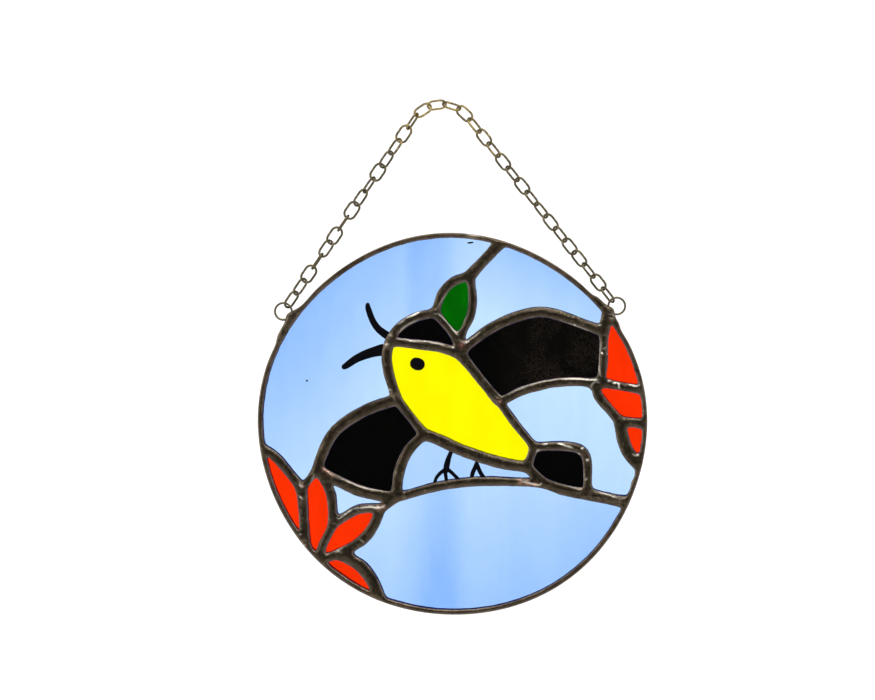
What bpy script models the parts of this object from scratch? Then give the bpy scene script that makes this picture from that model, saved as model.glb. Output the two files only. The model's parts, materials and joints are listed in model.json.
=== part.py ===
"""Round stained glass suncatcher with a bird, petals and a leaf, on a chain.

The panel hangs in the XZ plane with its front towards -Y. The origin is the
point that the chain hangs from: the top of the round rod or hook under its
highest links.

The leaded design is a map of junctions joined by seams. Each pane is the
space between its seams, and the solder is one plate with a window for each
pane and a seat inside it that holds the edge of the glass.
"""

import math

import bmesh
import bpy
from mathutils import Matrix, Vector

# Driving sizes, in metres
PANEL_RADIUS = 0.0890
GLASS_THICKNESS = 0.0030
PANE_GAP = 0.0010
SEAT_CLEARANCE = 0.0002
BEAD_WIDTH = 0.0044
BEAD_RISE = 0.0010
BEAD_CHAMFER = 0.0005
RIM_FACE = 0.0025
RIM_WALL = 0.0009
WINDOW_FILLET = 0.0014
GLASS_FILLET = 0.0005
RING_RADIUS = 0.00435
RING_WIRE = 0.0011
RING_STANDOFF = 0.0003
PATCH_RISE = 0.0014
LUMP_RISE = 0.0027
LUMP_HALF_LENGTH = 0.0042
LINK_LENGTH = 0.00942
LINK_WIDTH = 0.0062
LINK_WIRE = 0.00106
LINK_PLAY = 0.0002
LINK_COUNT = 34
HOOK_RADIUS = 0.0130
HOOK_CLEARANCE = 0.0003
PANEL_OFFSET = 0.0051

# How finely the outlines are followed, in metres and in counts
WINDOW_TOLERANCE = 0.00020
GLASS_TOLERANCE = 0.00030
SEAM_STEP = 0.0004
LINK_END_SIDES = 4
RING_SIDES = 14
WIRE_SIDES = 6
FILLET_STEPS = 6
HALVINGS = 50

# Shares: how far the sides of a pane run on past their ends, in bead widths; how much of a side its
# fillets may use; the least cosine a mitre is stretched for; and how square-ended a patch is
SIDE_OVERRUN = 1.5
FILLET_ROOM = 0.45
MITRE_LIMIT = 0.4
PATCH_ROUNDNESS = 0.3

# The outer edge is slightly out of round: waves around it, share of the radius, phase in degrees
RIM_WAVES = ((2, 0.0104, 22.0), (4, 0.0023, -31.0), (5, 0.0044, -98.0))

# On the rim, in degrees: each hanging ring, the middle of its solder patch and half the patch's spread
RING_PATCHES = {"ring_left": (146.2, 148.8, 6.6), "ring_right": (35.9, 36.4, 6.6)}

# Junctions inside the panel, in percent of its radius, right and up from its middle
JUNCTIONS = {
    "leaf_tip": (8.8, 77.2),
    "cap_peak": (-9.1, 58.0),
    "brow": (-32.8, 43.5),
    "nape": (4.1, 37.6),
    "shoulder": (-28.9, 12.8),
    "armpit": (-14.8, -5.1),
    "wing_foot": (-70.4, -23.3),
    "petal_crook": (-78.2, -33.1),
    "petal_fork": (-62.1, -50.3),
    "stalk_low": (-37.4, -43.5),
    "stalk_high": (-29.4, -38.1),
    "petal_heel": (-59.0, -67.1),
    "tail_under": (47.2, -30.3),
    "tail_end": (70.0, -36.0),
    "rump": (42.3, -11.6),
    "vent": (38.6, -22.0),
    "wing_tip": (78.3, 48.4),
    "wing_heel": (76.5, 21.9),
    "wing_root": (24.4, 11.5),
    "petal_neck": (86.7, 1.7),
}

# Junctions on the rim, in degrees round from the right
RIM_JUNCTIONS = {
    "rim_branch": 75.2,
    "rim_patch": 35.5,
    "rim_east_a": 10.4,
    "rim_east_b": 0.2,
    "rim_east_c": 347.6,
    "rim_south_east": 335.9,
    "rim_south": 247.2,
    "rim_south_west": 225.6,
    "rim_west_a": 219.0,
    "rim_west_b": 187.2,
}

# Seams: start, end, width as a share of the bead width, and the points it bends through
SEAMS = (
    ("rim_branch", "leaf_tip", 1.26, ()),
    ("leaf_tip", "cap_peak", 0.95, ((0.2, 74.1), (-6.0, 67.3))),
    ("leaf_tip", "nape", 0.89, ((10.2, 66.3), (9.1, 56.4), (6.8, 51.4), (4.6, 46.8))),
    ("cap_peak", "nape", 0.95, ((-3.6, 52.0), (-0.2, 48.0), (2.1, 43.4))),
    ("cap_peak", "brow", 0.95, ((-14.8, 57.0), (-21.6, 54.6), (-28.9, 49.4))),
    ("brow", "nape", 1.05, ((-22.1, 41.9), (-7.8, 40.4), (-1.2, 38.7))),
    ("brow", "shoulder", 1.05, ((-34.3, 35.7), (-33.3, 26.8))),
    ("shoulder", "wing_foot", 1.16, ((-40.8, 9.3), (-50.7, 4.4), (-61.6, -4.0), (-67.8, -15.7))),
    ("shoulder", "armpit", 0.95, ((-22.1, 4.0),)),
    ("armpit", "stalk_high", 1.11, ((-22.6, -12.9), (-27.8, -24.6))),
    ("armpit", "vent", 1.16, ((-6.3, -8.4), (2.8, -12.6), (16.3, -17.4), (26.7, -20.3))),
    ("vent", "rump", 0.95, ()),
    ("wing_root", "rump", 0.84, ((32.7, 0.1),)),
    ("nape", "wing_root", 1.05, ((8.8, 30.5), (15.8, 22.2))),
    ("nape", "wing_tip", 1.06, ((10.6, 43.6), (17.3, 48.5), (26.9, 53.6), (45.1, 58.4), (61.1, 54.5))),
    ("wing_tip", "wing_heel", 0.95, ((78.2, 39.8), (77.9, 29.4))),
    ("wing_heel", "wing_root", 0.95, ((57.3, 22.2), (42.8, 19.6), (33.4, 16.5))),
    ("rim_patch", "wing_tip", 1.26, ()),
    ("wing_heel", "rim_east_a", 0.95, ()),
    ("wing_heel", "petal_neck", 1.00, ((74.6, 17.6), (77.7, 11.9), (82.0, 7.0))),
    ("petal_neck", "rim_east_b", 1.05, ()),
    ("petal_neck", "rim_east_c", 1.32, ((88.2, -6.9), (91.6, -15.2))),
    ("rim_south_east", "tail_end", 1.26, ((79.6, -38.1),)),
    ("tail_end", "rump", 0.95, ((70.0, -23.5), (68.7, -15.7), (64.8, -12.4), (55.8, -11.2))),
    ("tail_end", "tail_under", 1.16, ((56.8, -33.6),)),
    ("tail_under", "vent", 1.05, ()),
    ("tail_under", "stalk_high", 0.95, ((29.8, -29.9), (17.3, -29.4), (-0.3, -30.8), (-14.3, -33.6))),
    ("wing_foot", "stalk_high", 1.21, ((-60.0, -29.0), (-50.7, -33.4), (-41.8, -36.0))),
    ("wing_foot", "petal_crook", 0.84, ()),
    ("petal_crook", "rim_west_b", 0.95, ((-84.4, -25.6), (-92.0, -16.8))),
    ("petal_crook", "rim_west_a", 1.11, ((-78.0, -39.1), (-77.3, -49.5))),
    ("wing_foot", "petal_fork", 1.00, ((-63.9, -33.9), (-62.4, -43.3))),
    ("petal_fork", "rim_south_west", 0.95, ((-64.4, -56.7), (-68.1, -64.0))),
    ("petal_fork", "stalk_low", 0.95, ((-56.9, -48.4), (-49.6, -44.3))),
    ("stalk_low", "stalk_high", 0.95, ()),
    ("stalk_low", "petal_heel", 1.11, ((-42.3, -54.5), (-47.9, -60.8), (-53.9, -64.8))),
    ("petal_heel", "rim_south_west", 0.95, ()),
    ("petal_heel", "rim_south", 1.26, ((-49.9, -71.8), (-45.0, -76.5), (-41.1, -82.5))),
)

# Panes: glass colour and the junctions around it, anticlockwise seen from the front
PANES = {
    "sky_left": ("sky", ("rim_branch", "rim_west_b", "petal_crook", "wing_foot", "shoulder", "brow",
                         "cap_peak", "leaf_tip")),
    "sky_top": ("sky", ("rim_patch", "rim_branch", "leaf_tip", "nape", "wing_tip")),
    "sky_right": ("sky", ("rim_east_c", "petal_neck", "wing_heel", "wing_root", "rump", "tail_end",
                          "rim_south_east")),
    "sky_under_belly": ("sky", ("armpit", "stalk_high", "tail_under", "vent")),
    "sky_bottom": ("sky", ("rim_south", "rim_south_east", "tail_end", "tail_under", "stalk_high",
                           "stalk_low", "petal_heel")),
    "sky_small": ("sky", ("wing_foot", "petal_fork", "stalk_low", "stalk_high")),
    "bird_cap": ("black", ("cap_peak", "brow", "nape")),
    "bird_body": ("yellow", ("brow", "shoulder", "armpit", "vent", "rump", "wing_root", "nape")),
    "bird_left_wing": ("black", ("shoulder", "wing_foot", "stalk_high", "armpit")),
    "bird_right_wing": ("black", ("nape", "wing_root", "wing_heel", "wing_tip")),
    "bird_tail": ("black", ("rump", "vent", "tail_under", "tail_end")),
    "leaf": ("green", ("leaf_tip", "cap_peak", "nape")),
    "petal_1": ("orange", ("rim_west_b", "rim_west_a", "petal_crook")),
    "petal_2": ("orange", ("petal_crook", "rim_west_a", "rim_south_west", "petal_fork", "wing_foot")),
    "petal_3": ("orange", ("petal_fork", "rim_south_west", "petal_heel", "stalk_low")),
    "petal_4": ("orange", ("petal_heel", "rim_south_west", "rim_south")),
    "petal_5": ("orange", ("rim_patch", "wing_tip", "wing_heel", "rim_east_a")),
    "petal_6": ("orange", ("rim_east_a", "wing_heel", "petal_neck", "rim_east_b")),
    "petal_7": ("orange", ("rim_east_b", "petal_neck", "rim_east_c")),
}

# Window corners that are filled with more solder, as shares of the window fillet
WIDE_FILLETS = {
    ("bird_body", "nape"): 5.3,
    ("petal_3", "petal_fork"): 3.0,
    ("petal_1", "petal_crook"): 3.0,
    ("sky_right", "wing_heel"): 3.3,
    ("petal_7", "rim_east_c"): 2.2,
}

# Chain links turn a quarter on from the one before, except these, in degrees
QUARTER_TURN = 90.0
FIRST_TURN = 50.0
ODD_TURNS = {1: 85, 2: 50, 3: 83, 4: 57, 5: 50, 6: 75, 8: 50, 9: 65, 10: 65, 11: 50, 12: 80, 13: 50,
             14: 75, 15: 75, 16: 75, 17: 80, 26: 115, 30: 70, 31: 80}

# Colour, roughness, metallic and transmission of each material
FINISHES = {
    "sky": ((0.42, 0.66, 1.0), 0.05, 0.0, 0.9),
    "yellow": ((1.0, 0.93, 0.0), 0.05, 0.0, 0.5),
    "orange": ((1.0, 0.05, 0.0), 0.05, 0.0, 0.5),
    "green": ((0.0, 0.16, 0.0), 0.05, 0.0, 0.7),
    "black": ((0.004, 0.004, 0.004), 0.08, 0.0, 0.0),
    "solder": ((0.07, 0.055, 0.042), 0.45, 0.8, 0.0),
    "chain": ((0.12, 0.10, 0.07), 0.40, 0.9, 0.0),
}


def panel_point(share):
    """Turn percent of the radius into metres from the middle of the panel."""
    return Vector((share[0], share[1])) * PANEL_RADIUS / 100


def rim_radius(degrees):
    """Distance from the middle of the panel to its outer edge at an angle."""
    wave = 0.0
    for count, share, phase in RIM_WAVES:
        wave += share * math.cos(math.radians(count * degrees + phase))
    return PANEL_RADIUS * (1 + wave)


def on_rim(degrees, inset=0.0):
    """Point at an angle, a given distance inside the outer edge."""
    reach = rim_radius(degrees) - inset
    angle = math.radians(degrees)
    return Vector((math.cos(angle), math.sin(angle))) * reach


def junction_point(name):
    if name in RIM_JUNCTIONS:
        return on_rim(RIM_JUNCTIONS[name], RIM_FACE / 2)
    return panel_point(JUNCTIONS[name])


def second_slopes(knots, points):
    """Second derivatives of the natural cubic through the points, by elimination."""
    last = len(points) - 1
    upper = [0.0] * (last + 1)
    curve = [Vector((0, 0))] * (last + 1)
    for i in range(1, last):
        before = knots[i] - knots[i - 1]
        after = knots[i + 1] - knots[i]
        rise = (points[i + 1] - points[i]) / after - (points[i] - points[i - 1]) / before
        pivot = 2 * (before + after) - before * upper[i - 1]
        upper[i] = after / pivot
        curve[i] = (6 * rise - before * curve[i - 1]) / pivot
    for i in range(last - 1, 0, -1):
        curve[i] = curve[i] - upper[i] * curve[i + 1]
    return curve


def smooth_path(points):
    """Closely spaced points along a smooth curve through the given ones."""
    knots = [0.0]
    for start, end in zip(points, points[1:]):
        knots.append(knots[-1] + math.sqrt((end - start).length))
    curve = second_slopes(knots, points)
    path = []
    for i, (start, end) in enumerate(zip(points, points[1:])):
        span = knots[i + 1] - knots[i]
        count = max(2, round((end - start).length / SEAM_STEP))
        for step in range(count):
            b = step / count
            a = 1 - b
            bend = ((a ** 3 - a) * curve[i] + (b ** 3 - b) * curve[i + 1]) * span * span / 6
            path.append(start * a + end * b + bend)
    path.append(points[-1])
    return path


def seam_between(start, end):
    """Middle line and width of the seam from one junction to another, or None on the rim."""
    for first, last, share, bends in SEAMS:
        if {first, last} == {start, end}:
            points = [junction_point(first)]
            points += [panel_point(bend) for bend in bends]
            points.append(junction_point(last))
            path = smooth_path(points)
            if first == end:
                path.reverse()
            return path, BEAD_WIDTH * share
    return None


def rim_arc(start, end):
    """Outer edge from one rim junction anticlockwise to the next."""
    begin = RIM_JUNCTIONS[start]
    sweep = (RIM_JUNCTIONS[end] - begin) % 360
    count = max(4, round(math.radians(sweep) * PANEL_RADIUS / SEAM_STEP))
    return [on_rim(begin + sweep * step / count) for step in range(count + 1)]


def left_of(direction):
    return Vector((-direction.y, direction.x))


def shifted(path, distance):
    """The path moved to its left, and carried on straight past both its ends."""
    directions = [(b - a).normalized() for a, b in zip(path, path[1:])]
    moved = []
    for i, point in enumerate(path):
        before = directions[max(i - 1, 0)]
        after = directions[min(i, len(directions) - 1)]
        moved.append(point + left_of((before + after).normalized()) * distance)
    reach = BEAD_WIDTH * SIDE_OVERRUN
    moved.insert(0, moved[0] - directions[0] * reach)
    moved.append(moved[-1] + directions[-1] * reach)
    return moved


def cross(a, b):
    return a.x * b.y - a.y * b.x


def meeting(one, other):
    """Last place where one path crosses the other: step on each, and the point."""
    for i in range(len(one) - 2, -1, -1):
        run = one[i + 1] - one[i]
        for k in range(len(other) - 1):
            step = other[k + 1] - other[k]
            turn = cross(run, step)
            if abs(turn) < 1e-16:
                continue
            gap = other[k] - one[i]
            along = cross(gap, step) / turn
            across = cross(gap, run) / turn
            if 0 <= along <= 1 and 0 <= across <= 1:
                return i, k, one[i] + run * along
    # Seams that run on in one line never cross, so they join halfway between their ends
    return len(one) - 3, 1, (one[-2] + other[1]) / 2


def pane_sides(junctions, seam_inset, rim_inset):
    """Each side of a pane, moved inwards by its own inset."""
    sides = []
    for start, end in zip(junctions, junctions[1:] + junctions[:1]):
        seam = seam_between(start, end)
        if seam:
            sides.append(shifted(seam[0], seam_inset(seam[1])))
        else:
            sides.append(shifted(rim_arc(start, end), rim_inset))
    return sides


def trimmed_sides(sides):
    """The sides cut where they meet: one run of points for each side, corner to corner."""
    corners = [meeting(sides[i - 1], sides[i]) for i in range(len(sides))]
    runs = []
    for i, side in enumerate(sides):
        start = corners[i]
        end = corners[(i + 1) % len(sides)]
        runs.append([start[2]] + side[start[1] + 1:end[0] + 1] + [end[2]])
    return runs


def cut_back(run, distance):
    """The run without its first stretch, starting at the point that far along it."""
    left = distance
    for i in range(len(run) - 1):
        length = (run[i + 1] - run[i]).length
        if length > left:
            return [run[i].lerp(run[i + 1], left / length)] + run[i + 1:]
        left -= length
    return run[-1:]


def run_length(run):
    return sum((b - a).length for a, b in zip(run, run[1:]))


def filleted(runs, radii):
    """Closed outline through the runs, with each corner replaced by a quick curve."""
    shortened = []
    for i, run in enumerate(runs):
        room = run_length(run) * FILLET_ROOM
        run = cut_back(run, min(radii[i], room))
        run = cut_back(run[::-1], min(radii[(i + 1) % len(runs)], room))
        shortened.append(run[::-1])
    outline = []
    for i, run in enumerate(shortened):
        corner = runs[i][0]
        start = shortened[i - 1][-1]
        for step in range(1, FILLET_STEPS):
            t = step / FILLET_STEPS
            outline.append(start * (1 - t) ** 2 + corner * 2 * t * (1 - t) + run[0] * t * t)
        outline += run
    return outline


def simplified(points, tolerance):
    """Fewest of the points that keep the open line within the tolerance."""
    if len(points) < 3:
        return points
    base = points[-1] - points[0]
    worst = 0.0
    pick = 0
    for i in range(1, len(points) - 1):
        reach = points[i] - points[0]
        if base.length < tolerance:
            away = reach.length
        else:
            away = abs(cross(base, reach)) / base.length
        if away > worst:
            worst = away
            pick = i
    if worst <= tolerance:
        return [points[0], points[-1]]
    head = simplified(points[:pick + 1], tolerance)
    return head[:-1] + simplified(points[pick:], tolerance)


def closed_simplified(outline, tolerance):
    """A closed outline with the fewest points, split at two far places."""
    half = max(range(len(outline)), key=lambda i: (outline[i] - outline[0]).length)
    head = simplified(outline[:half + 1], tolerance)
    tail = simplified(outline[half:] + outline[:1], tolerance)
    return head[:-1] + tail[:-1]


def grown(outline, distance):
    """A closed anticlockwise outline moved outwards by the distance, corners mitred."""
    moved = []
    for i, point in enumerate(outline):
        before = (point - outline[i - 1]).normalized()
        after = (outline[(i + 1) % len(outline)] - point).normalized()
        out = -(left_of(before) + left_of(after)).normalized()
        moved.append(point + out * distance / max(MITRE_LIMIT, out.dot(-left_of(after))))
    return moved


def glass_outline(name):
    """Edge of a pane of glass: half the pane gap from each seam's middle line."""
    junctions = PANES[name][1]
    sides = pane_sides(junctions, lambda width: PANE_GAP / 2, RIM_WALL)
    radii = [GLASS_FILLET] * len(junctions)
    return closed_simplified(filleted(trimmed_sides(sides), radii), GLASS_TOLERANCE)


def window_outline(name):
    """Edge of the solder around a pane, as it shows from the front."""
    junctions = PANES[name][1]
    sides = pane_sides(junctions, lambda width: width / 2, RIM_FACE)
    radii = [WINDOW_FILLET * WIDE_FILLETS.get((name, corner), 1.0) for corner in junctions]
    return closed_simplified(filleted(trimmed_sides(sides), radii), WINDOW_TOLERANCE)


def hump(offset, half_length):
    """Smooth bump, 1 at its middle and 0 at its ends."""
    if abs(offset) >= half_length:
        return 0.0
    return math.cos(offset / half_length * math.pi / 2) ** 2


def turn_between(start, end):
    """Angle from one direction to another, in degrees, the short way round."""
    return (end - start + 180) % 360 - 180


def plate_outline():
    """Outer edge of the solder, with the patches that hold the rings."""
    count = round(2 * math.pi * PANEL_RADIUS / SEAM_STEP)
    lump_spread = math.degrees(LUMP_HALF_LENGTH / PANEL_RADIUS)
    outline = []
    for step in range(count):
        degrees = 360 * step / count
        rise = 0.0
        for ring, middle, spread in RING_PATCHES.values():
            rise += PATCH_RISE * hump(turn_between(middle, degrees), spread) ** PATCH_ROUNDNESS
            rise += (LUMP_RISE - PATCH_RISE) * hump(turn_between(ring, degrees), lump_spread)
        outline.append(on_rim(degrees, -rise))
    return closed_simplified(outline, WINDOW_TOLERANCE)


def panel_height():
    """Height of the middle of the panel, worked out from the length of the chain."""
    lowest = HOOK_RADIUS + ring_middle("ring_left", 0.0).z
    shallow = lowest
    deep = lowest + LINK_COUNT * LINK_LENGTH
    for _ in range(HALVINGS):
        depth = (shallow + deep) / 2
        if chain_shortfall(chain_path(-depth)) > 0:
            deep = depth
        else:
            shallow = depth
    return -depth


def ring_middle(name, panel_z):
    """Middle of a hanging ring, just outside the rim."""
    reach = RING_RADIUS + RING_STANDOFF
    place = on_rim(RING_PATCHES[name][0], -reach)
    return Vector((PANEL_OFFSET + place.x, 0, panel_z + place.y))


def chain_path(panel_z):
    """Straight up from the left ring, round the hook and straight down to the right ring."""
    hook = Vector((0, 0, -HOOK_RADIUS))
    bend = HOOK_RADIUS + HOOK_CLEARANCE + chain_half_thickness()
    path = {"hook": hook, "bend": bend}
    for side, ring in ((1, "ring_left"), (-1, "ring_right")):
        away = ring_middle(ring, panel_z) - hook
        straight = math.sqrt(away.length ** 2 - bend ** 2)
        angle = math.atan2(away.z, away.x) % (2 * math.pi)
        touch = angle - side * math.acos(bend / away.length)
        path[ring] = (ring_middle(ring, panel_z), straight, touch)
    path["arc"] = bend * ((path["ring_left"][2] - path["ring_right"][2]) % (2 * math.pi))
    return path


def chain_half_thickness():
    """Reach of a link to one side when it lies turned by an eighth."""
    return (LINK_WIDTH - LINK_WIRE) / 2 * math.sin(math.radians(45)) + LINK_WIRE / 2


def path_length(path):
    return path["ring_left"][1] + path["arc"] + path["ring_right"][1]


def path_place(path, distance):
    """Point and direction, as an angle, at a distance along the chain's path."""
    start, rise, touch = path["ring_left"]
    if distance < rise:
        angle = touch - math.pi / 2
        return start + Vector((math.cos(angle), 0, math.sin(angle))) * distance, angle
    if distance < rise + path["arc"]:
        around = touch - (distance - rise) / path["bend"]
        out = Vector((math.cos(around), 0, math.sin(around)))
        return path["hook"] + out * path["bend"], around - math.pi / 2
    end, fall, touch = path["ring_right"]
    angle = touch - math.pi / 2
    back = path_length(path) - distance
    return end - Vector((math.cos(angle), 0, math.sin(angle))) * back, angle


def link_reach():
    """From the middle of a link to the middle of the wire at its end."""
    return (LINK_LENGTH - LINK_WIRE) / 2


def ring_to_link():
    """From the middle of a ring to the middle of the link that hangs in it."""
    ring_reach = RING_RADIUS - RING_WIRE / 2
    return ring_reach + link_reach() - (RING_WIRE + LINK_WIRE) / 2 - LINK_PLAY


def next_link(path, distance):
    """Place of the next link: its wire hooks inside the end of the one before."""
    middle, angle = path_place(path, distance)
    end = middle + Vector((math.cos(angle), 0, math.sin(angle))) * link_reach()
    near = distance + link_reach()
    far = distance + LINK_LENGTH
    for _ in range(HALVINGS):
        trial = (near + far) / 2
        middle, angle = path_place(path, trial)
        start = middle - Vector((math.cos(angle), 0, math.sin(angle))) * link_reach()
        if (end - start).length < LINK_WIRE + LINK_PLAY:
            far = trial
        else:
            near = trial
    return far


def link_distances(path):
    distances = [ring_to_link()]
    while len(distances) < LINK_COUNT:
        distances.append(next_link(path, distances[-1]))
    return distances


def chain_shortfall(path):
    """How far the last link is from reaching the right ring."""
    return path_length(path) - link_distances(path)[-1] - ring_to_link()


def finish(name):
    """The material of one kind of glass or metal."""
    if name in bpy.data.materials:
        return bpy.data.materials[name]
    colour, roughness, metallic, transmission = FINISHES[name]
    material = bpy.data.materials.new(name)
    material.use_nodes = True
    shader = material.node_tree.nodes["Principled BSDF"]
    shader.inputs["Base Color"].default_value = (*colour, 1)
    shader.inputs["Roughness"].default_value = roughness
    shader.inputs["Metallic"].default_value = metallic
    shader.inputs["Transmission Weight"].default_value = transmission
    return material


def add_object(name, data, collection, material=None):
    thing = bpy.data.objects.new(name, data)
    collection.objects.link(thing)
    if material:
        data.materials.append(finish(material))
    return thing


def flat_curve(name, outlines, thickness, chamfer=0.0):
    """A filled plate from closed outlines, the first one outside and any others holes."""
    curve = bpy.data.curves.new(name, "CURVE")
    curve.dimensions = "2D"
    curve.fill_mode = "BOTH"
    curve.extrude = thickness / 2 - chamfer
    curve.bevel_depth = chamfer
    curve.bevel_resolution = 0
    curve.offset = -chamfer
    for outline in outlines:
        spline = curve.splines.new("POLY")
        spline.points.add(len(outline) - 1)
        for point, place in zip(spline.points, outline):
            point.co = (place.x, place.y, 0, 1)
        spline.use_cyclic_u = True
    return curve


def upright(panel_z):
    """Stand a flat outline up in the plane of the panel, its front towards -Y."""
    return Matrix.Translation((PANEL_OFFSET, 0, panel_z)) @ Matrix.Rotation(math.pi / 2, 4, "X")


def plate(name, outlines, thickness, collection, matrix, material=None, chamfer=0.0):
    """A closed mesh plate made from a filled curve, with its caps welded on."""
    curve = flat_curve(name, outlines, thickness, chamfer)
    source = add_object(name + "_outline", curve, collection)
    bpy.context.view_layer.update()
    graph = bpy.context.evaluated_depsgraph_get()
    mesh = bpy.data.meshes.new_from_object(source.evaluated_get(graph))
    bpy.data.objects.remove(source)
    shape = bmesh.new()
    shape.from_mesh(mesh)
    bmesh.ops.remove_doubles(shape, verts=shape.verts, dist=1e-6)
    bmesh.ops.recalc_face_normals(shape, faces=shape.faces)
    shape.to_mesh(mesh)
    shape.free()
    mesh.name = name
    thing = add_object(name, mesh, collection, material)
    thing.matrix_world = matrix
    return thing


def cut(thing, cutter):
    modifier = thing.modifiers.new("Cut " + cutter.name, "BOOLEAN")
    modifier.operation = "DIFFERENCE"
    modifier.solver = "EXACT"
    modifier.object = cutter
    cutter.hide_render = True
    cutter.display_type = "WIRE"


def torus(name, place, radius, wire, collection, material=None):
    """A round ring of round wire, flat in the plane of the panel."""
    bpy.ops.mesh.primitive_torus_add(
        major_segments=RING_SIDES, minor_segments=WIRE_SIDES,
        major_radius=radius, minor_radius=wire / 2,
        location=place, rotation=(math.pi / 2, 0, 0))
    ring = bpy.context.object
    ring.name = name
    ring.data.shade_smooth()
    for holder in ring.users_collection:
        holder.objects.unlink(ring)
    collection.objects.link(ring)
    if material:
        ring.data.materials.append(finish(material))
    return ring


def make_glass(collection, matrix):
    """Every pane, cut to its own outline."""
    for name, (colour, _) in PANES.items():
        plate(name, [glass_outline(name)], GLASS_THICKNESS, collection, matrix, colour)


def make_solder(collection, cutters, matrix, panel_z):
    """One body of solder: seams, rim and the two patches, with seats for the glass."""
    outlines = [plate_outline()]
    outlines += [window_outline(name)[::-1] for name in PANES]
    thickness = GLASS_THICKNESS + 2 * BEAD_RISE
    solder = plate("soldered_frame", outlines, thickness, collection, matrix, "solder", BEAD_CHAMFER)
    seats = [grown(glass_outline(name), SEAT_CLEARANCE) for name in PANES]
    depth = GLASS_THICKNESS + 2 * SEAT_CLEARANCE
    cut(solder, plate("glass_seats", seats, depth, cutters, matrix))
    for name in RING_PATCHES:
        place = ring_middle(name, panel_z)
        wire = RING_WIRE + 2 * SEAT_CLEARANCE
        cut(solder, torus(name + "_seat", place, RING_RADIUS - RING_WIRE / 2, wire, cutters))


def make_rings(collection, panel_z):
    """The two hanging rings, each held in its lump of solder."""
    for name in RING_PATCHES:
        place = ring_middle(name, panel_z)
        torus(name, place, RING_RADIUS - RING_WIRE / 2, RING_WIRE, collection, "chain")


def link_curve():
    """One oval link: two straight sides and two round ends, bent from round wire."""
    curve = bpy.data.curves.new("link", "CURVE")
    curve.dimensions = "3D"
    curve.bevel_depth = LINK_WIRE / 2
    curve.bevel_resolution = 0
    bend = (LINK_WIDTH - LINK_WIRE) / 2
    points = []
    for end in (1, -1):
        middle = end * (link_reach() - bend)
        for step in range(LINK_END_SIDES + 1):
            angle = math.pi * (step / LINK_END_SIDES - 0.5)
            points.append((middle + end * bend * math.cos(angle), end * bend * math.sin(angle)))
    spline = curve.splines.new("POLY")
    spline.points.add(len(points) - 1)
    for point, (x, y) in zip(spline.points, points):
        point.co = (x, y, 0, 1)
    spline.use_cyclic_u = True
    curve.materials.append(finish("chain"))
    return curve


def make_chain(collection, panel_z):
    """Every link along the path, each turned on from the one before."""
    path = chain_path(panel_z)
    shape = link_curve()
    roll = FIRST_TURN
    for number, distance in enumerate(link_distances(path)):
        if number:
            roll += ODD_TURNS.get(number, QUARTER_TURN)
        middle, angle = path_place(path, distance)
        link = add_object(f"chain_link_{number + 1:02d}", shape, collection)
        tilt = Matrix.Rotation(-angle, 4, "Y")
        turn = Matrix.Rotation(math.radians(QUARTER_TURN + roll), 4, "X")
        link.matrix_world = Matrix.Translation(middle) @ tilt @ turn


def new_collection(name):
    collection = bpy.data.collections.new(name)
    bpy.context.scene.collection.children.link(collection)
    return collection


def main():
    for thing in list(bpy.data.objects):
        bpy.data.objects.remove(thing)
    parts = new_collection("Suncatcher")
    cutters = new_collection("Cutters")
    panel_z = panel_height()
    matrix = upright(panel_z)
    make_glass(parts, matrix)
    make_solder(parts, cutters, matrix, panel_z)
    make_rings(parts, panel_z)
    make_chain(parts, panel_z)


main()
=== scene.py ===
"""Looks of a round stained glass suncatcher that hangs from a chain.

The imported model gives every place. Here the panes get their glass, the solder
is rebuilt as hand-run beads over the CAD body's own outlines, the wire of the
rings and links is drawn round, the painted strokes go on the glass, and a
plain pale stage with a camera is set up.
"""

import json
import math

import bmesh
import bpy
import numpy as np
from bpy.props import FloatProperty, FloatVectorProperty, IntProperty, PointerProperty
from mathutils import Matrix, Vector, geometry, kdtree, noise


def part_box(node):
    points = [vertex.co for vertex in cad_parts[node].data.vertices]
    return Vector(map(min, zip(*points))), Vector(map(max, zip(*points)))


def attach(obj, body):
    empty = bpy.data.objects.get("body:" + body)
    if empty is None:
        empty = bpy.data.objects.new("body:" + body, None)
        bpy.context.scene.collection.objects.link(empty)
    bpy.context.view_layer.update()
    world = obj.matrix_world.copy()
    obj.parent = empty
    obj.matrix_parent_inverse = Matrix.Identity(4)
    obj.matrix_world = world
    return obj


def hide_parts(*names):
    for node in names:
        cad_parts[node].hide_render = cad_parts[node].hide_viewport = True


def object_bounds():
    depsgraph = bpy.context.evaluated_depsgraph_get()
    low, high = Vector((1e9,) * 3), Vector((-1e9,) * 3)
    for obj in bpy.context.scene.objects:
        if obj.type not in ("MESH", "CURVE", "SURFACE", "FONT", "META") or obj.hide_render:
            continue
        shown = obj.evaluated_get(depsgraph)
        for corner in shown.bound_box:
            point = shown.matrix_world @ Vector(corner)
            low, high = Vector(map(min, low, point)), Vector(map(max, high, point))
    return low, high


bl_info = {
    "name": "Stained Glass Suncatcher",
    "version": (1, 0, 0),
    "blender": (4, 5, 0),
    "location": "View3D > Sidebar > Suncatcher",
    "description": "Dresses the packed suncatcher in glass, solder, paint and wire",
    "category": "Object",
}

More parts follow.
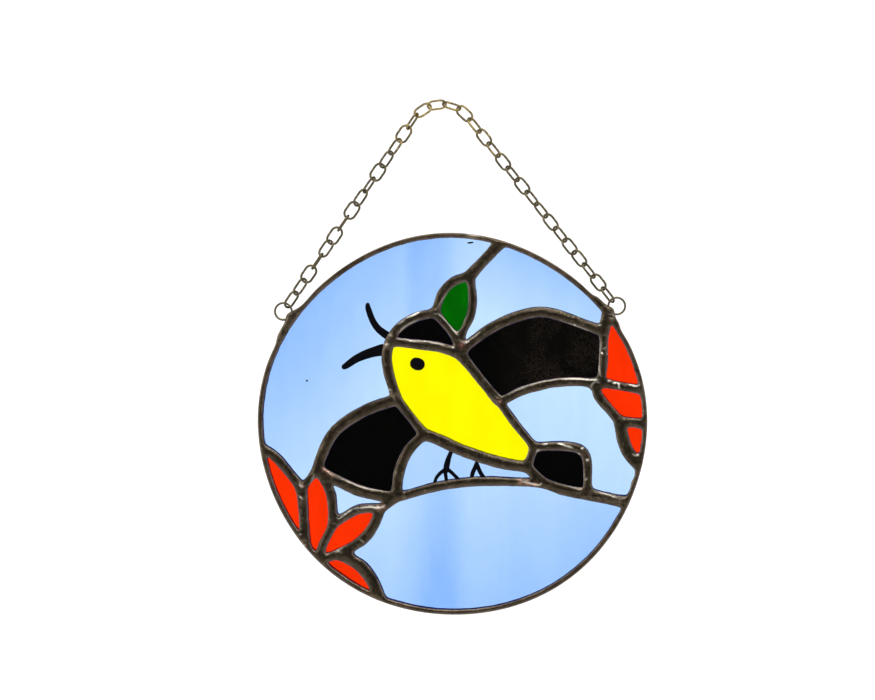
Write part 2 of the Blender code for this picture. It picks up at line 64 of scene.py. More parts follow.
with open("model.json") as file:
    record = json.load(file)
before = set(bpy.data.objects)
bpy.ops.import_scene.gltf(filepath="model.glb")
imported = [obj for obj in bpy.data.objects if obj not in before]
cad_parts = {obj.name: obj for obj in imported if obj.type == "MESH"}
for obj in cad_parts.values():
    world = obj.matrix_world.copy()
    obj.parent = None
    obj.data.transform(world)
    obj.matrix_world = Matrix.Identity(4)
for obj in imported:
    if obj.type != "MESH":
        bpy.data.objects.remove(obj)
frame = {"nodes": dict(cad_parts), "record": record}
CAD_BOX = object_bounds()
NODES = frame["nodes"]
SLOTS = {part["node"]: part["material_slot"] for part in frame["record"]["subparts"]}

MM = 0.001
SOLDER_NODE = "soldered_frame"
GLASS_FACE = -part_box("bird_body")[0].y
PANEL_MIDDLE = Vector((5.1, 0, -145.12)) * MM

# Planes, measured from the middle of the panel's thickness, that cut the CAD solder body through
# the mouths of its windows and through the seats of its panes
MOUTH_LEVEL = 2.0 * MM
SEAT_LEVEL = 1.7 * MM

# Solder: where its foil starts, where the outer wall ends, how thick the foil is, how far the lip
# lies inside the rim and the rim inside the CAD outline, and how wide the brown band at the rim is
UNDER_FOIL = GLASS_FACE + 0.02 * MM
WALL_LEVEL = GLASS_FACE - 0.45 * MM
FOIL_RISE = 0.07 * MM
LIP_INSET = 0.12 * MM
RIM_INSET = 0.04 * MM
RIM_BAND = 2.2 * MM

# Points of a bead: lines along its edges, a grid of rows as a share of its step, and lines in
# millimetres beside each gleam, with the room that grid and gleams leave to the edges
EDGE_LINES = (0.16 * MM, 0.42 * MM, 0.80 * MM)
ROW_SPACING = 0.866
GRID_ROOM = 1.15 * MM
GLEAM_SIDES = (-0.22, 0, 0.22)
GLEAM_ROOM = 0.12 * MM
GLEAM_STEP = 0.3 * MM
GLEAM_POWER = 1.4
GLEAM_REACH = 0.32 * MM

# Paint: its gap to the glass, the width over which it thins, and the step along a stroke
PAINT_GAP = 0.004 * MM
PAINT_EDGE = 0.35 * MM
STROKE_STEP = 0.35 * MM

# Thickness of a link's wire at its butt joint, as a share of the wire
JOINT_NECK = 0.72

FLAT_ROOM = 0.01 * MM
WELD = 1e-7
SHARP_ANGLE = math.radians(60)

# Stage, in metres: the picture's middle, the floor and its wall, a card, and soft boxes with
# place, size and power
PICTURE_MIDDLE = Vector((-1.9, 0, -110.6)) * MM
FLOOR_REACH = 1.4
FLOOR_BEND = 1.0
WALL_TOP = 2.4
CARD_CORNERS = ((-1.3, -1.5, -0.55), (1.3, -1.5, -0.55), (1.3, -1.5, 1.1), (-1.3, -1.5, 1.1))
SOFT_BOXES = (
    ("soft box above", (0.10, -0.42, 0.42), 0.5, 3.0),
    ("soft box left", (-0.70, -0.70, 0.05), 0.4, 2.0),
)

# Colours that only vary a finish, from deep to pale, and a painted brown reflection on the black glass
BROWN_REFLECTION = (0.0135, 0.0100, 0.0075)
DUST = (0.05, 0.045, 0.04)
PAINT_BLACKS = ((0.0010, 0.0010, 0.0030), (0.0040, 0.0036, 0.0050))
BACKDROP_WHITES = ((0.90, 0.90, 0.90), (0.93, 0.93, 0.925))

# Tone of each sky pane, 0 deep to 1 pale: its value if carried on to the middle of the panel, and
# its change for each millimetre to the right and upwards
SKY_TONES = {
    "sky_left": (1.33, 0.0107, -0.0093),
    "sky_top": (2.12, -0.0080, -0.0200),
    "sky_right": (0.80, 0.0020, 0.0045),
    "sky_under_belly": (0.56, 0.0000, 0.0000),
    "sky_bottom": (1.03, -0.0038, 0.0085),
    "sky_small": (0.90, 0.0000, 0.0000),
}

# A deeper upright band of painted shade, the backdrop's shade seen through the glass, in two of
# them: where it starts, is full, is still full and ends, in millimetres right of the panel's
# middle, and its depth
SKY_SHADE_BANDS = {
    "sky_left": (-24.0, -17.5, -8.5, 4.0, 0.36),
    "sky_bottom": (-27.0, -6.0, -5.0, 9.0, 0.44),
}

# Places on the panel, in millimetres right and up from its middle: lumps and pits of solder
# with their radius and height
LUMPS = (
    (-69.8, -28.2, 0.9, 0.45), (-69.6, -33.8, 0.9, 0.40), (-71.0, -53.5, 1.0, 0.40),
    (-25.6, 12.6, 1.5, 0.35), (-29.9, 36.6, 1.6, 0.30), (20.4, 11.2, 1.2, 0.35),
    (60.2, -12.6, 1.0, 0.40), (62.3, -16.6, 0.8, 0.35), (4.2, 34.8, 1.6, 0.30),
    (-55.0, -46.2, 1.1, -0.25), (38.0, -19.6, 1.4, 0.25), (66.0, -31.0, 1.2, 0.25),
    (-20.0, 44.5, 1.2, 0.25), (61.0, -27.4, 0.9, 0.35), (-3.0, -28.0, 1.2, 0.25),
    (70.5, 42.6, 1.5, 0.30), (76.8, 1.5, 1.2, 0.25), (-33.0, -37.4, 1.5, 0.20),
    (79.6, -32.6, 1.3, 0.30), (-78.8, 40.6, 1.2, 0.25), (73.0, 49.6, 1.0, 0.30),
)

# Places where the foil's edge is ragged: reach, and how many times further it strays
RAGS = ((85.2, -21.5, 2.6, 4.0), (83.6, -27.5, 3.2, 4.0), (-33.5, -39.0, 2.5, 1.5), (79.0, -32.0, 2.0, 2.0))

# Places where bare copper shows through the patina, with their reach
COPPER_SPOTS = (
    (4.2, 36.9, 1.5), (31.1, -26.2, 1.0), (34.8, -26.9, 1.1), (38.0, -27.6, 1.0),
    (-34.2, -38.6, 1.0), (-32.3, -38.0, 0.9), (-59.6, -20.8, 0.9), (-57.6, -21.9, 1.0),
    (-55.6, -23.2, 0.9), (21.5, 10.8, 1.0), (-69.4, -28.2, 0.7), (-60.3, -29.0, 0.6),
)

# Places where the solder is rubbed to a lighter brown, with their reach
TAN_SPOTS = (
    (-30.5, 36.8, 1.6), (-28.7, 41.2, 1.2), (-26.9, 13.4, 1.8), (20.2, 12.4, 1.6),
    (-76.5, 51.0, 2.2), (-78.6, 46.6, 2.0), (-74.4, 54.8, 1.8), (73.2, 52.6, 1.8),
    (70.4, -33.0, 1.6), (-70.0, -54.0, 2.2), (-52.8, -57.8, 1.5), (8.6, 87.6, 2.4),
    (-9.4, 52.6, 1.2), (58.9, -29.9, 1.3), (64.2, -31.2, 1.9), (67.6, -32.0, 1.9), (73.8, -33.4, 2.0),
    (77.4, -34.6, 2.0), (-79.9, 42.6, 2.0), (-80.8, 39.4, 1.5), (70.6, 56.0, 1.8), (75.0, 49.4, 1.5),
)

# Painted highlights: lines where an edge or a fold of solder catches the light, in millimetres
# right and up from the middle of the panel, with how bright each is
GLEAMS = (
    (((-21.8, 49.3), (-19.4, 50.3), (-17.1, 51.3), (-13.5, 53.2), (-10.6, 54.0)), 1.0),
    (((-25.6, 46.6), (-23.8, 47.5), (-21.8, 49.1)), 0.5),
    (((-24.7, 41.6), (-23.5, 44.0), (-20.6, 46.3), (-17.9, 47.5), (-15.3, 48.7)), 0.4),
    (((-25.9, 39.8), (-21.2, 39.6), (-19.4, 38.9), (-12.9, 38.9), (-8.2, 37.8), (-4.1, 36.9)), 0.45),
    (((-19.9, 38.9), (-18.9, 38.9)), 0.9),
    (((-13.4, 38.9), (-12.4, 38.8)), 0.9),
    (((-8.5, 51.3), (-6.7, 51.1), (-4.1, 49.0), (-1.7, 46.6), (0.0, 44.3), (2.4, 41.3)), 0.6),
    (((3.0, 39.3), (4.5, 38.4), (6.0, 37.8), (7.7, 39.0), (12.7, 42.8)), 0.6),
    (((-0.2, 35.9), (0.7, 35.5)), 0.8),
    (((-31.8, 37.2), (-29.1, 37.2)), 0.5),
    (((-29.7, 41.3), (-27.6, 41.0)), 0.4),
    (((1.8, 41.9), (4.5, 46.6), (6.2, 50.2)), 0.35),
    (((-7.9, 52.8), (-5.5, 56.7), (-2.3, 61.0)), 0.3),
    (((49.6, 21.1), (54.1, 21.4), (58.4, 21.1), (64.4, 20.7), (67.2, 20.8)), 0.75),
    (((25.5, 14.2), (33.0, 17.6), (41.0, 20.0), (49.6, 21.1)), 0.4),
    (((71.7, 20.2), (72.9, 20.9), (75.0, 20.8), (77.0, 19.9)), 1.0),
    (((77.0, 19.9), (79.4, 19.6), (82.1, 18.7), (84.4, 17.8), (86.2, 18.3)), 0.75),
    (((74.1, 19.0), (75.6, 19.6)), 0.9),
    (((76.4, 19.6), (76.8, 17.0)), 0.9),
    (((63.8, 17.6), (64.4, 19.0), (66.1, 19.9), (67.9, 19.3)), 0.5),
    (((68.5, 37.6), (67.7, 34.1), (67.3, 29.6), (67.6, 25.2), (68.5, 22.3)), 0.4),
    (((68.6, 33.4), (69.2, 32.7)), 1.0),
    (((69.1, 34.9), (70.8, 35.8)), 0.4),
    (((71.0, 33.0), (71.4, 32.6)), 0.5),
    (((49.6, 47.6), (56.1, 45.8), (61.4, 43.8), (67.3, 41.1)), 0.3),
    (((55.8, 46.1), (56.6, 45.7)), 0.9),
    (((67.5, 46.3), (68.3, 45.8)), 0.5),
    (((71.7, 51.3), (73.8, 50.6), (74.7, 50.3)), 0.35),
    (((72.0, 49.4), (74.1, 49.1)), 0.3),
    (((-60.8, -19.5), (-57.6, -21.8), (-55.6, -23.4), (-49.8, -25.6), (-40.3, -29.2), (-30.0, -30.5)), 0.35),
    (((-53.7, -42.8), (-52.4, -43.3), (-50.4, -41.9), (-46.5, -39.2), (-43.0, -38.3)), 0.6),
    (((-43.6, -38.4), (-38.1, -37.9), (-34.8, -38.3), (-31.9, -37.6), (-31.3, -36.8)), 1.0),
    (((-70.9, -27.0), (-69.9, -28.2), (-68.9, -28.4)), 0.6),
    (((-70.5, -33.1), (-69.2, -34.1)), 0.6),
    (((-70.9, -50.6), (-69.6, -50.3)), 0.6),
    (((-68.9, -55.5), (-68.2, -55.6)), 0.6),
    (((-63.7, -22.4), (-66.3, -29.9), (-67.3, -33.7)), 0.3),
    (((-57.9, -60.0), (-56.6, -58.7), (-53.6, -58.1), (-51.1, -59.1)), 0.5),
    (((-54.3, -58.1), (-50.4, -56.4)), 0.4),
    (((-42.6, -52.9), (-41.0, -54.2)), 0.45),
    (((48.5, -8.4), (51.8, -9.5), (55.5, -10.5)), 0.9),
    (((41.8, -8.9), (43.7, -8.5)), 0.7),
    (((59.2, -11.1), (60.3, -10.4)), 1.0),
    (((61.8, -15.9), (62.4, -16.4)), 1.0),
    (((57.7, -13.1), (58.8, -13.9)), 0.6),
    (((38.5, -12.4), (40.0, -11.3)), 0.5),
    (((60.6, -22.4), (59.9, -26.0), (59.3, -29.0)), 0.4),
    (((61.0, -25.6), (62.1, -24.5)), 0.5),
    (((37.1, -18.7), (42.2, -22.7), (47.7, -26.0), (53.2, -27.9), (58.8, -29.7)), 0.4),
    (((31.1, -26.0), (34.8, -26.6), (40.0, -27.7), (40.9, -26.8)), 0.75),
    (((65.4, -29.9), (70.9, -31.9), (76.8, -34.1), (79.1, -34.1)), 0.5),
    (((82.9, -13.5), (84.2, -14.2), (85.7, -13.5)), 0.55),
    (((-46.5, 10.0), (-44.5, 11.4)), 0.6),
    (((-33.0, 15.6), (-30.4, 16.4), (-28.0, 16.0)), 0.5),
    (((7.0, 87.8), (13.0, 87.0)), 0.5),
)

# Side of the light as it falls across the panel: right and up
LIGHT_SIDE = (-0.35, 0.94)

# Painted strokes, in millimetres right and up from the middle of the panel, and their width
UPPER_BEAK = (
    (-39.2, 55.4, 2.0), (-39.1, 54.3, 2.5), (-38.5, 52.2, 2.8), (-36.7, 47.7, 3.0),
    (-34.3, 44.3, 3.3), (-31.1, 41.8, 3.7), (-29.8, 40.9, 3.8),
)
LOWER_BEAK = (
    (-50.0, 26.8, 2.6), (-48.8, 27.5, 3.0), (-47.3, 28.6, 3.3), (-44.8, 30.3, 3.6),
    (-40.5, 32.3, 4.2), (-36.2, 33.7, 4.7), (-32.4, 34.6, 5.5),
)
EYE = ((-16.9, 28.3, 5.7), (-16.3, 28.1, 5.9), (-15.6, 27.9, 5.6))
LEFT_LEG = (
    (0.2, -10.8, 2.0), (-1.0, -13.2, 2.0), (-1.8, -15.2, 2.3), (-2.7, -18.7, 2.8), (-3.1, -21.2, 2.6),
)
LEFT_TOES = (
    ((-2.9, -20.4, 2.0), (-4.1, -21.0, 1.7), (-6.0, -22.6, 1.7), (-7.6, -24.6, 1.6), (-8.4, -27.2, 1.6)),
    ((-3.2, -20.4, 2.0), (-3.4, -22.2, 1.8), (-3.1, -24.0, 1.7), (-2.9, -26.0, 1.6)),
    ((-3.0, -20.2, 2.0), (-1.6, -21.1, 1.8), (0.0, -22.5, 1.7), (2.1, -24.6, 1.7), (3.4, -26.2, 1.6)),
)
RIGHT_TOES = (
    ((11.2, -17.4, 1.8), (10.4, -19.6, 2.0), (9.4, -21.8, 2.0), (8.7, -24.6, 1.9)),
    ((11.1, -17.8, 1.8), (12.4, -21.2, 2.0), (13.9, -23.7, 1.9), (15.6, -25.4, 1.6)),
)
DASH = ((7.0, 83.9, 0.6), (8.2, 84.0, 0.8), (9.3, 84.1, 0.6))
DOT = ((-67.4, 20.3, 0.75), (-67.1, 20.4, 0.75))


class SuncatcherGlass(bpy.types.PropertyGroup):
    """Colours of the panes."""

    sky_pale: FloatVectorProperty(
        name="Pale sky", description="Sky glass where its streaks are palest",
        default=(0.525, 0.745, 0.98), subtype="COLOR", size=3, min=0, max=1)
    sky_deep: FloatVectorProperty(
        name="Deep sky", description="Sky glass where its streaks are deepest",
        default=(0.250, 0.475, 0.96), subtype="COLOR", size=3, min=0, max=1)
    sky_violet: FloatVectorProperty(
        name="Violet sky", description="Sky glass in its faint violet wisps",
        default=(0.48, 0.60, 1.0), subtype="COLOR", size=3, min=0, max=1)
    yellow: FloatVectorProperty(
        name="Yellow", description="Glass of the bird's body",
        default=(1.0, 0.95, 0.0), subtype="COLOR", size=3, min=0, max=1)
    orange: FloatVectorProperty(
        name="Orange", description="Glass of the petals",
        default=(1.0, 0.032, 0.0), subtype="COLOR", size=3, min=0, max=1)
    green: FloatVectorProperty(
        name="Green", description="Glass of the leaf",
        default=(0.0, 0.148, 0.0), subtype="COLOR", size=3, min=0, max=1)
    black: FloatVectorProperty(
        name="Black", description="Opaque glass of the wings, cap and tail",
        default=(0.0012, 0.0013, 0.0012), subtype="COLOR", size=3, min=0, max=1)


class SuncatcherSolder(bpy.types.PropertyGroup):
    """Sizes and colours of the solder beads."""

    crown: FloatProperty(
        name="Crown", description="Height of a bead above the glass",
        default=0.95 * MM, unit="LENGTH", subtype="DISTANCE")
    dome: FloatProperty(
        name="Dome", description="Distance from the edge of a bead to its crown",
        default=2.1 * MM, unit="LENGTH", subtype="DISTANCE")
    flange: FloatProperty(
        name="Flange", description="Flat foil left bare of solder along the edge of a bead",
        default=0.38 * MM, unit="LENGTH", subtype="DISTANCE")
    rim_round: FloatProperty(
        name="Rim round", description="Rounding of the outer edge",
        default=1.3 * MM, unit="LENGTH", subtype="DISTANCE")
    wander: FloatProperty(
        name="Foil wander", description="How far the edge of a bead strays from a smooth line",
        default=0.11 * MM, unit="LENGTH", subtype="DISTANCE")
    ripple: FloatProperty(
        name="Ripple", description="Unevenness of the crown of a bead",
        default=0.24 * MM, unit="LENGTH", subtype="DISTANCE")
    back_shift: FloatVectorProperty(
        name="Back shift", description="How far the foil on the back lies from that on the front",
        default=(0.24 * MM, 0.35 * MM), subtype="XYZ", unit="LENGTH", size=2)
    step: FloatProperty(
        name="Step", description="Distance between the points along an edge",
        default=0.50 * MM, unit="LENGTH", subtype="DISTANCE")
    patina: FloatVectorProperty(
        name="Patina", description="Dark metal of the beads",
        default=(0.056, 0.043, 0.027), subtype="COLOR", size=3, min=0, max=1)
    # Lighter worn metal, which also serves as the painted highlight along edges that face the light
    wear_and_highlight: FloatVectorProperty(
        name="Worn edge", description="Lighter metal along the edges of the beads",
        default=(0.215, 0.170, 0.115), subtype="COLOR", size=3, min=0, max=1)
    # Dimmer painted sheen along the edges that face away from the light
    dim_sheen: FloatVectorProperty(
        name="Dull edge", description="Foil along the edges that face away from the light",
        default=(0.118, 0.092, 0.082), subtype="COLOR", size=3, min=0, max=1)
    # Colour of the painted highlights where edges and folds catch the light
    bright: FloatVectorProperty(
        name="Bright metal", description="Bare solder on edges and folds that catch the light",
        default=(0.95, 0.88, 0.76), subtype="COLOR", size=3, min=0, max=1)
    copper: FloatVectorProperty(
        name="Copper", description="Bare copper at a few joints",
        default=(0.42, 0.20, 0.14), subtype="COLOR", size=3, min=0, max=1)
    rim_brown: FloatVectorProperty(
        name="Rim brown", description="Browner metal of the outer rim",
        default=(0.098, 0.071, 0.044), subtype="COLOR", size=3, min=0, max=1)
    # Painted shade: dark navy for the foil that shows under the edge of a pane
    shade_under_glass: FloatVectorProperty(
        name="Under glass", description="Foil that only shows through the edge of a pane",
        default=(0.085, 0.070, 0.210), subtype="COLOR", size=3, min=0, max=1)


class SuncatcherWire(bpy.types.PropertyGroup):
    """Colours and roundness of the rings and the chain."""

    sides: IntProperty(
        name="Sides", description="Faces round the wire", default=14, min=6, max=32)
    bends: IntProperty(
        name="Bends", description="Steps round each end of a link", default=14, min=6, max=32)
    bronze: FloatVectorProperty(
        name="Bronze", description="Dark metal of the wire",
        default=(0.130, 0.107, 0.063), subtype="COLOR", size=3, min=0, max=1)
    gold: FloatVectorProperty(
        name="Gold", description="Golden metal where the wire is rubbed",
        default=(0.36, 0.27, 0.11), subtype="COLOR", size=3, min=0, max=1)


class SuncatcherPaint(bpy.types.PropertyGroup):
    """The painted strokes."""

    depth: FloatProperty(
        name="Depth", description="Thickness of the paint at the middle of a stroke",
        default=0.07 * MM, unit="LENGTH", subtype="DISTANCE")
    grain: FloatProperty(
        name="Grain", description="Distance between the points inside a stroke",
        default=0.28 * MM, unit="LENGTH", subtype="DISTANCE")


class SuncatcherStage(bpy.types.PropertyGroup):
    """Stage, lights and camera."""

    distance: FloatProperty(
        name="Distance", description="From the camera to the middle of the picture",
        default=0.90, unit="LENGTH", subtype="DISTANCE")
    elevation: FloatProperty(
        name="Elevation", description="Height of the camera above the level line",
        default=math.radians(0.5), unit="ROTATION", subtype="ANGLE")
    width: FloatProperty(
        name="Width", description="Width of the picture at the object",
        default=0.4043, unit="LENGTH", subtype="DISTANCE")
    floor_drop: FloatProperty(
        name="Floor drop", description="From the hook down to the floor",
        default=0.62, unit="LENGTH", subtype="DISTANCE")


class Term:
    """An output of a material's tree, or arithmetic on such outputs."""

    def __init__(self, surface, socket):
        self.surface = surface
        self.socket = socket

    def step(self, operation, one, other):
        return self.surface.node("ShaderNodeMath", {"operation": operation}, {0: one, 1: other})

    def __add__(self, other):
        return self.step("ADD", self, other)

    def __radd__(self, other):
        return self.step("ADD", other, self)

    def __sub__(self, other):
        return self.step("SUBTRACT", self, other)

    def __rsub__(self, other):
        return self.step("SUBTRACT", other, self)

    def __mul__(self, other):
        return self.step("MULTIPLY", self, other)

    def __rmul__(self, other):
        return self.step("MULTIPLY", other, self)

    def __truediv__(self, other):
        return self.step("DIVIDE", self, other)


class Surface:
    """A material in the making, with one method for every kind of node."""

    def __init__(self, name, **constants):
        self.material = bpy.data.materials.new(name)
        self.material.use_nodes = True
        self.tree = self.material.node_tree
        self.shader = self.tree.nodes["Principled BSDF"]
        for socket, value in constants.items():
            self.shader.inputs[socket.replace("_", " ").title().replace("Ior", "IOR")].default_value = value
        self.spot = self.node("ShaderNodeTexCoord", output="Object")

    def node(self, kind, settings=None, inputs=None, output=0):
        """Adds a node: its settings first, then numbers or links on its sockets."""
        made = self.tree.nodes.new(kind)
        for key, value in (settings or {}).items():
            setattr(made, key, value)
        for key, value in (inputs or {}).items():
            self.feed(made.inputs[key], value)
        return Term(self, made.outputs[output])

    def feed(self, socket, value):
        if isinstance(value, Term):
            self.tree.links.new(value.socket, socket)
        elif socket.type == "RGBA":
            socket.default_value = (*value, 1)
        else:
            socket.default_value = value

    def put(self, name, value):
        """Leads a varying value into one of the main shader's sockets."""
        self.feed(self.shader.inputs[name], value)

    def clouds(self, scale, detail=3.0, stretch=(1, 1, 1), roughness=0.5, move=0.0):
        """Soft noise over the object, stretched along the axes, about 0 to 1."""
        placed = self.node("ShaderNodeMapping", None,
                           {"Vector": self.spot, "Scale": stretch, "Location": (move, move, move)})
        settings = {"noise_dimensions": "3D"}
        values = {"Vector": placed, "Scale": scale, "Detail": detail, "Roughness": roughness}
        return self.node("ShaderNodeTexNoise", settings, values)

    def smooth(self, value, low, high):
        """0 below low, 1 above high, and a soft step between."""
        settings = {"interpolation_type": "SMOOTHSTEP", "clamp": True}
        return self.node("ShaderNodeMapRange", settings, {0: value, 1: low, 2: high, 3: 0.0, 4: 1.0})

    def mix(self, mask, one, other):
        """One colour where the mask is 0, the other where it is 1."""
        settings = {"data_type": "RGBA", "clamp_factor": True}
        return self.node("ShaderNodeMix", settings, {0: mask, 6: one, 7: other}, 2)

    def axis(self, letter):
        return self.node("ShaderNodeSeparateXYZ", None, {0: self.spot}, letter)

    def attribute(self, name):
        settings = {"attribute_type": "GEOMETRY", "attribute_name": name}
        return self.node("ShaderNodeAttribute", settings, None, "Fac")

    def bump(self, height, strength, distance):
        values = {"Strength": strength, "Distance": distance, "Height": height}
        self.put("Normal", self.node("ShaderNodeBump", None, values))


def dress(piece, surface):
    """Gives a piece its only material."""
    piece.data.materials.clear()
    piece.data.materials.append(surface.material)


def add_piece(name, points, faces, node=None):
    """A smooth-shaded mesh piece that rides on the model, standing for a CAD node if one is named."""
    mesh = bpy.data.meshes.new(name)
    mesh.from_pydata([tuple(point) for point in points], [], [tuple(face) for face in faces])
    shape = bmesh.new()
    shape.from_mesh(mesh)
    bmesh.ops.remove_doubles(shape, verts=shape.verts, dist=WELD)
    bmesh.ops.recalc_face_normals(shape, faces=shape.faces)
    shape.to_mesh(mesh)
    shape.free()
    mesh.shade_smooth()
    mesh.set_sharp_from_angle(angle=SHARP_ANGLE)
    piece = bpy.data.objects.new(name, mesh)
    bpy.context.scene.collection.objects.link(piece)
    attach(piece, "root")
    if node:
        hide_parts(node)
    return piece


def welded(mesh):
    """The mesh's points with doubles joined, and its faces by those points."""
    places = np.zeros(len(mesh.vertices) * 3)
    mesh.vertices.foreach_get("co", places)
    places = places.reshape(-1, 3)
    keys = np.round(places / (0.001 * MM)).astype(int)
    _, first, number = np.unique(keys, axis=0, return_index=True, return_inverse=True)
    number = number.reshape(-1)
    return places[first], [[int(number[v]) for v in face.vertices] for face in mesh.polygons]


def flat_loops(mesh, level):
    """Closed outlines of a mesh in the plane y = level, as rows of (x, z), anticlockwise."""
    points, faces = welded(mesh)
    flat = np.abs(points[:, 1] - level) < FLAT_ROOM
    sides = {}
    for face in faces:
        inside = all(flat[v] for v in face)
        for a, b in zip(face, face[1:] + face[:1]):
            if flat[a] and flat[b]:
                key = (min(a, b), max(a, b))
                sides[key] = sides.get(key, 0) + inside
    near = {}
    for (a, b), shared in sides.items():
        if shared != 2:
            near.setdefault(a, []).append(b)
            near.setdefault(b, []).append(a)
    loops = []
    while near:
        start = next(iter(near))
        loop = [start]
        while near.get(loop[-1]):
            here = loop[-1]
            following = near[here].pop()
            near[following].remove(here)
            if not near[here]:
                del near[here]
            loop.append(following)
        near.pop(loop[-1], None)
        outline = points[loop[:-1]][:, [0, 2]]
        if area(outline) < 0:
            outline = outline[::-1]
        loops.append(outline)
    return loops


def area(outline):
    x, z = outline.T
    return 0.5 * float(np.sum(x * np.roll(z, -1) - np.roll(x, -1) * z))


def curve_through(points, closed, parts=8):
    """Fine points of a smooth curve through the given ones, which may carry more than a place."""
    points = np.asarray(points, float)
    count = len(points)
    if not closed:
        points = np.vstack([2 * points[0] - points[1], points, 2 * points[-1] - points[-2]])
    fine = []
    for i in range(count if closed else count - 1):
        if closed:
            p0, p1, p2, p3 = (points[(i + k) % count] for k in (-1, 0, 1, 2))
        else:
            p0, p1, p2, p3 = points[i:i + 4]
        t01, t12, t23 = (max(np.linalg.norm((b - a)[:2]), 1e-9) ** 0.5
                         for a, b in ((p0, p1), (p1, p2), (p2, p3)))
        start = t12 * ((p1 - p0) / t01 - (p2 - p0) / (t01 + t12) + (p2 - p1) / t12)
        end = t12 * ((p2 - p1) / t12 - (p3 - p1) / (t12 + t23) + (p3 - p2) / t23)
        for step in range(parts):
            s = step / parts
            fine.append((2 * s ** 3 - 3 * s ** 2 + 1) * p1 + (s ** 3 - 2 * s ** 2 + s) * start
                        + (3 * s ** 2 - 2 * s ** 3) * p2 + (s ** 3 - s ** 2) * end)
    if not closed:
        fine.append(points[-2])
    return np.array(fine)


def spaced(fine, step, closed=True):
    """The same curve with points about a step apart."""
    path = np.vstack([fine, fine[:1]]) if closed else fine
    lengths = np.linalg.norm(np.diff(path[:, :2], axis=0), axis=1)
    along = np.concatenate([[0], np.cumsum(lengths)])
    count = max(6, round(along[-1] / step))
    marks = np.linspace(0, along[-1], count + 1)
    if closed:
        marks = marks[:-1]
    return np.column_stack([np.interp(marks, along, path[:, k]) for k in range(path.shape[1])])


def outward(outline):
    """Unit directions that point out of an anticlockwise outline, one for each point."""
    run = np.roll(outline, -1, axis=0) - np.roll(outline, 1, axis=0)
    run /= np.linalg.norm(run, axis=1)[:, None]
    return np.column_stack([run[:, 1], -run[:, 0]])


class Edges:
    """Outlines of a body with the direction into the body at each of their points."""

    def __init__(self, rims, windows=()):
        self.points = np.vstack([*rims, *windows])
        into_body = [-outward(rim) for rim in rims] + [outward(window) for window in windows]
        self.inwards = np.vstack(into_body)
        self.tree = kdtree.KDTree(len(self.points))
        for number, (x, z) in enumerate(self.points):
            self.tree.insert((x, z, 0), number)
        self.tree.balance()

    def look(self, places):
        """Each place's distance to the outlines, and the number of the nearest of their points."""
        found = [self.tree.find((x, z, 0)) for x, z in places]
        return np.array([away for _, _, away in found]), np.array([number for _, number, _ in found])

    def distances(self, places):
        return self.look(places)[0]

    def lit(self, numbers):
        """How far the edge at these points faces up to the light: -1 away from it, 1 towards it."""
        return -self.inwards[numbers] @ np.array(LIGHT_SIDE)

    def inside(self, places, room):
        """The places in the body that keep at least some room to its edges."""
        away, numbers = self.look(places)
        ahead = np.sum((places - self.points[numbers]) * self.inwards[numbers], axis=1) > 0
        return places[ahead & (away > room)]


def nearness(places, x, z, reach):
    """1 at a spot of the panel, given in millimetres, and 0 well beyond its reach."""
    away = np.hypot(places[:, 0] - PANEL_MIDDLE.x - x * MM, places[:, 1] - PANEL_MIDDLE.z - z * MM)
    return np.exp(-(away / (reach * MM)) ** 2)


def wandered(outline, amount, seed):
    """An outline whose points stray in and out a little, as hand-laid foil does."""
    away = noises(outline, 230, seed) * 1.3 + noises(outline, 800, seed + 9) * 0.6
    for x, z, reach, times in RAGS:
        away *= 1 + times * nearness(outline, x, z, reach)
    return outline + outward(outline) * (away * amount)[:, None]


def triangles_between(outer, holes, inner_points):
    """Triangles of the area inside one outline and outside others, with loose points in it."""
    places = [outer, *holes]
    rings = []
    start = 0
    for place in places:
        rings.append(list(range(start, start + len(place))))
        start += len(place)
    if len(inner_points):
        places.append(inner_points)
    cloud = [Vector((x / MM, z / MM)) for x, z in np.vstack(places)]
    found = geometry.delaunay_2d_cdt(cloud, [], rings, 1, 1e-7)
    points = np.array([tuple(v) for v in found[0]]) * MM
    faces = [face for face, within in zip(found[2], found[5]) if list(within) == [0]]
    return points, faces


def hexes(outline, step):
    """Points of a triangular grid over the outline's box."""
    low = outline.min(axis=0)
    high = outline.max(axis=0)
    rows = []
    for row, z in enumerate(np.arange(low[1], high[1], step * ROW_SPACING)):
        x = np.arange(low[0] + (row % 2) * step / 2, high[0], step)
        rows.append(np.column_stack([x, np.full(len(x), z)]))
    return np.vstack(rows)


def bead_points(edges, sizes):
    """Loose points of a bead: three lines close along its edges, a grid, and lines at the gleams."""
    chosen = []
    for away in EDGE_LINES:
        line = edges.points + edges.inwards * away
        chosen.append(line[edges.distances(line) > away * 0.93])
    chosen.append(edges.inside(hexes(edges.points, sizes.step * 1.25), GRID_ROOM))
    for line, _ in gleam_lines():
        for side in GLEAM_SIDES:
            chosen.append(edges.inside(line + outward(line) * side * MM, GLEAM_ROOM))
    return np.vstack(chosen)


def gleam_lines():
    """Fine points along each gleam, and how bright it is at each, fading towards its ends."""
    for marks, strength in GLEAMS:
        places = np.array(marks) * MM + (PANEL_MIDDLE.x, PANEL_MIDDLE.z)
        line = spaced(curve_through(places, False), GLEAM_STEP, False)
        share = np.linspace(-1, 1, len(line))
        yield line, strength ** GLEAM_POWER * (1 - 0.7 * np.abs(share) ** 3)


def noises(points, scale, seed):
    """Smooth noise, about -1 to 1, at each place."""
    return np.array([noise.noise(Vector((x * scale, z * scale, seed))) for x, z in points])


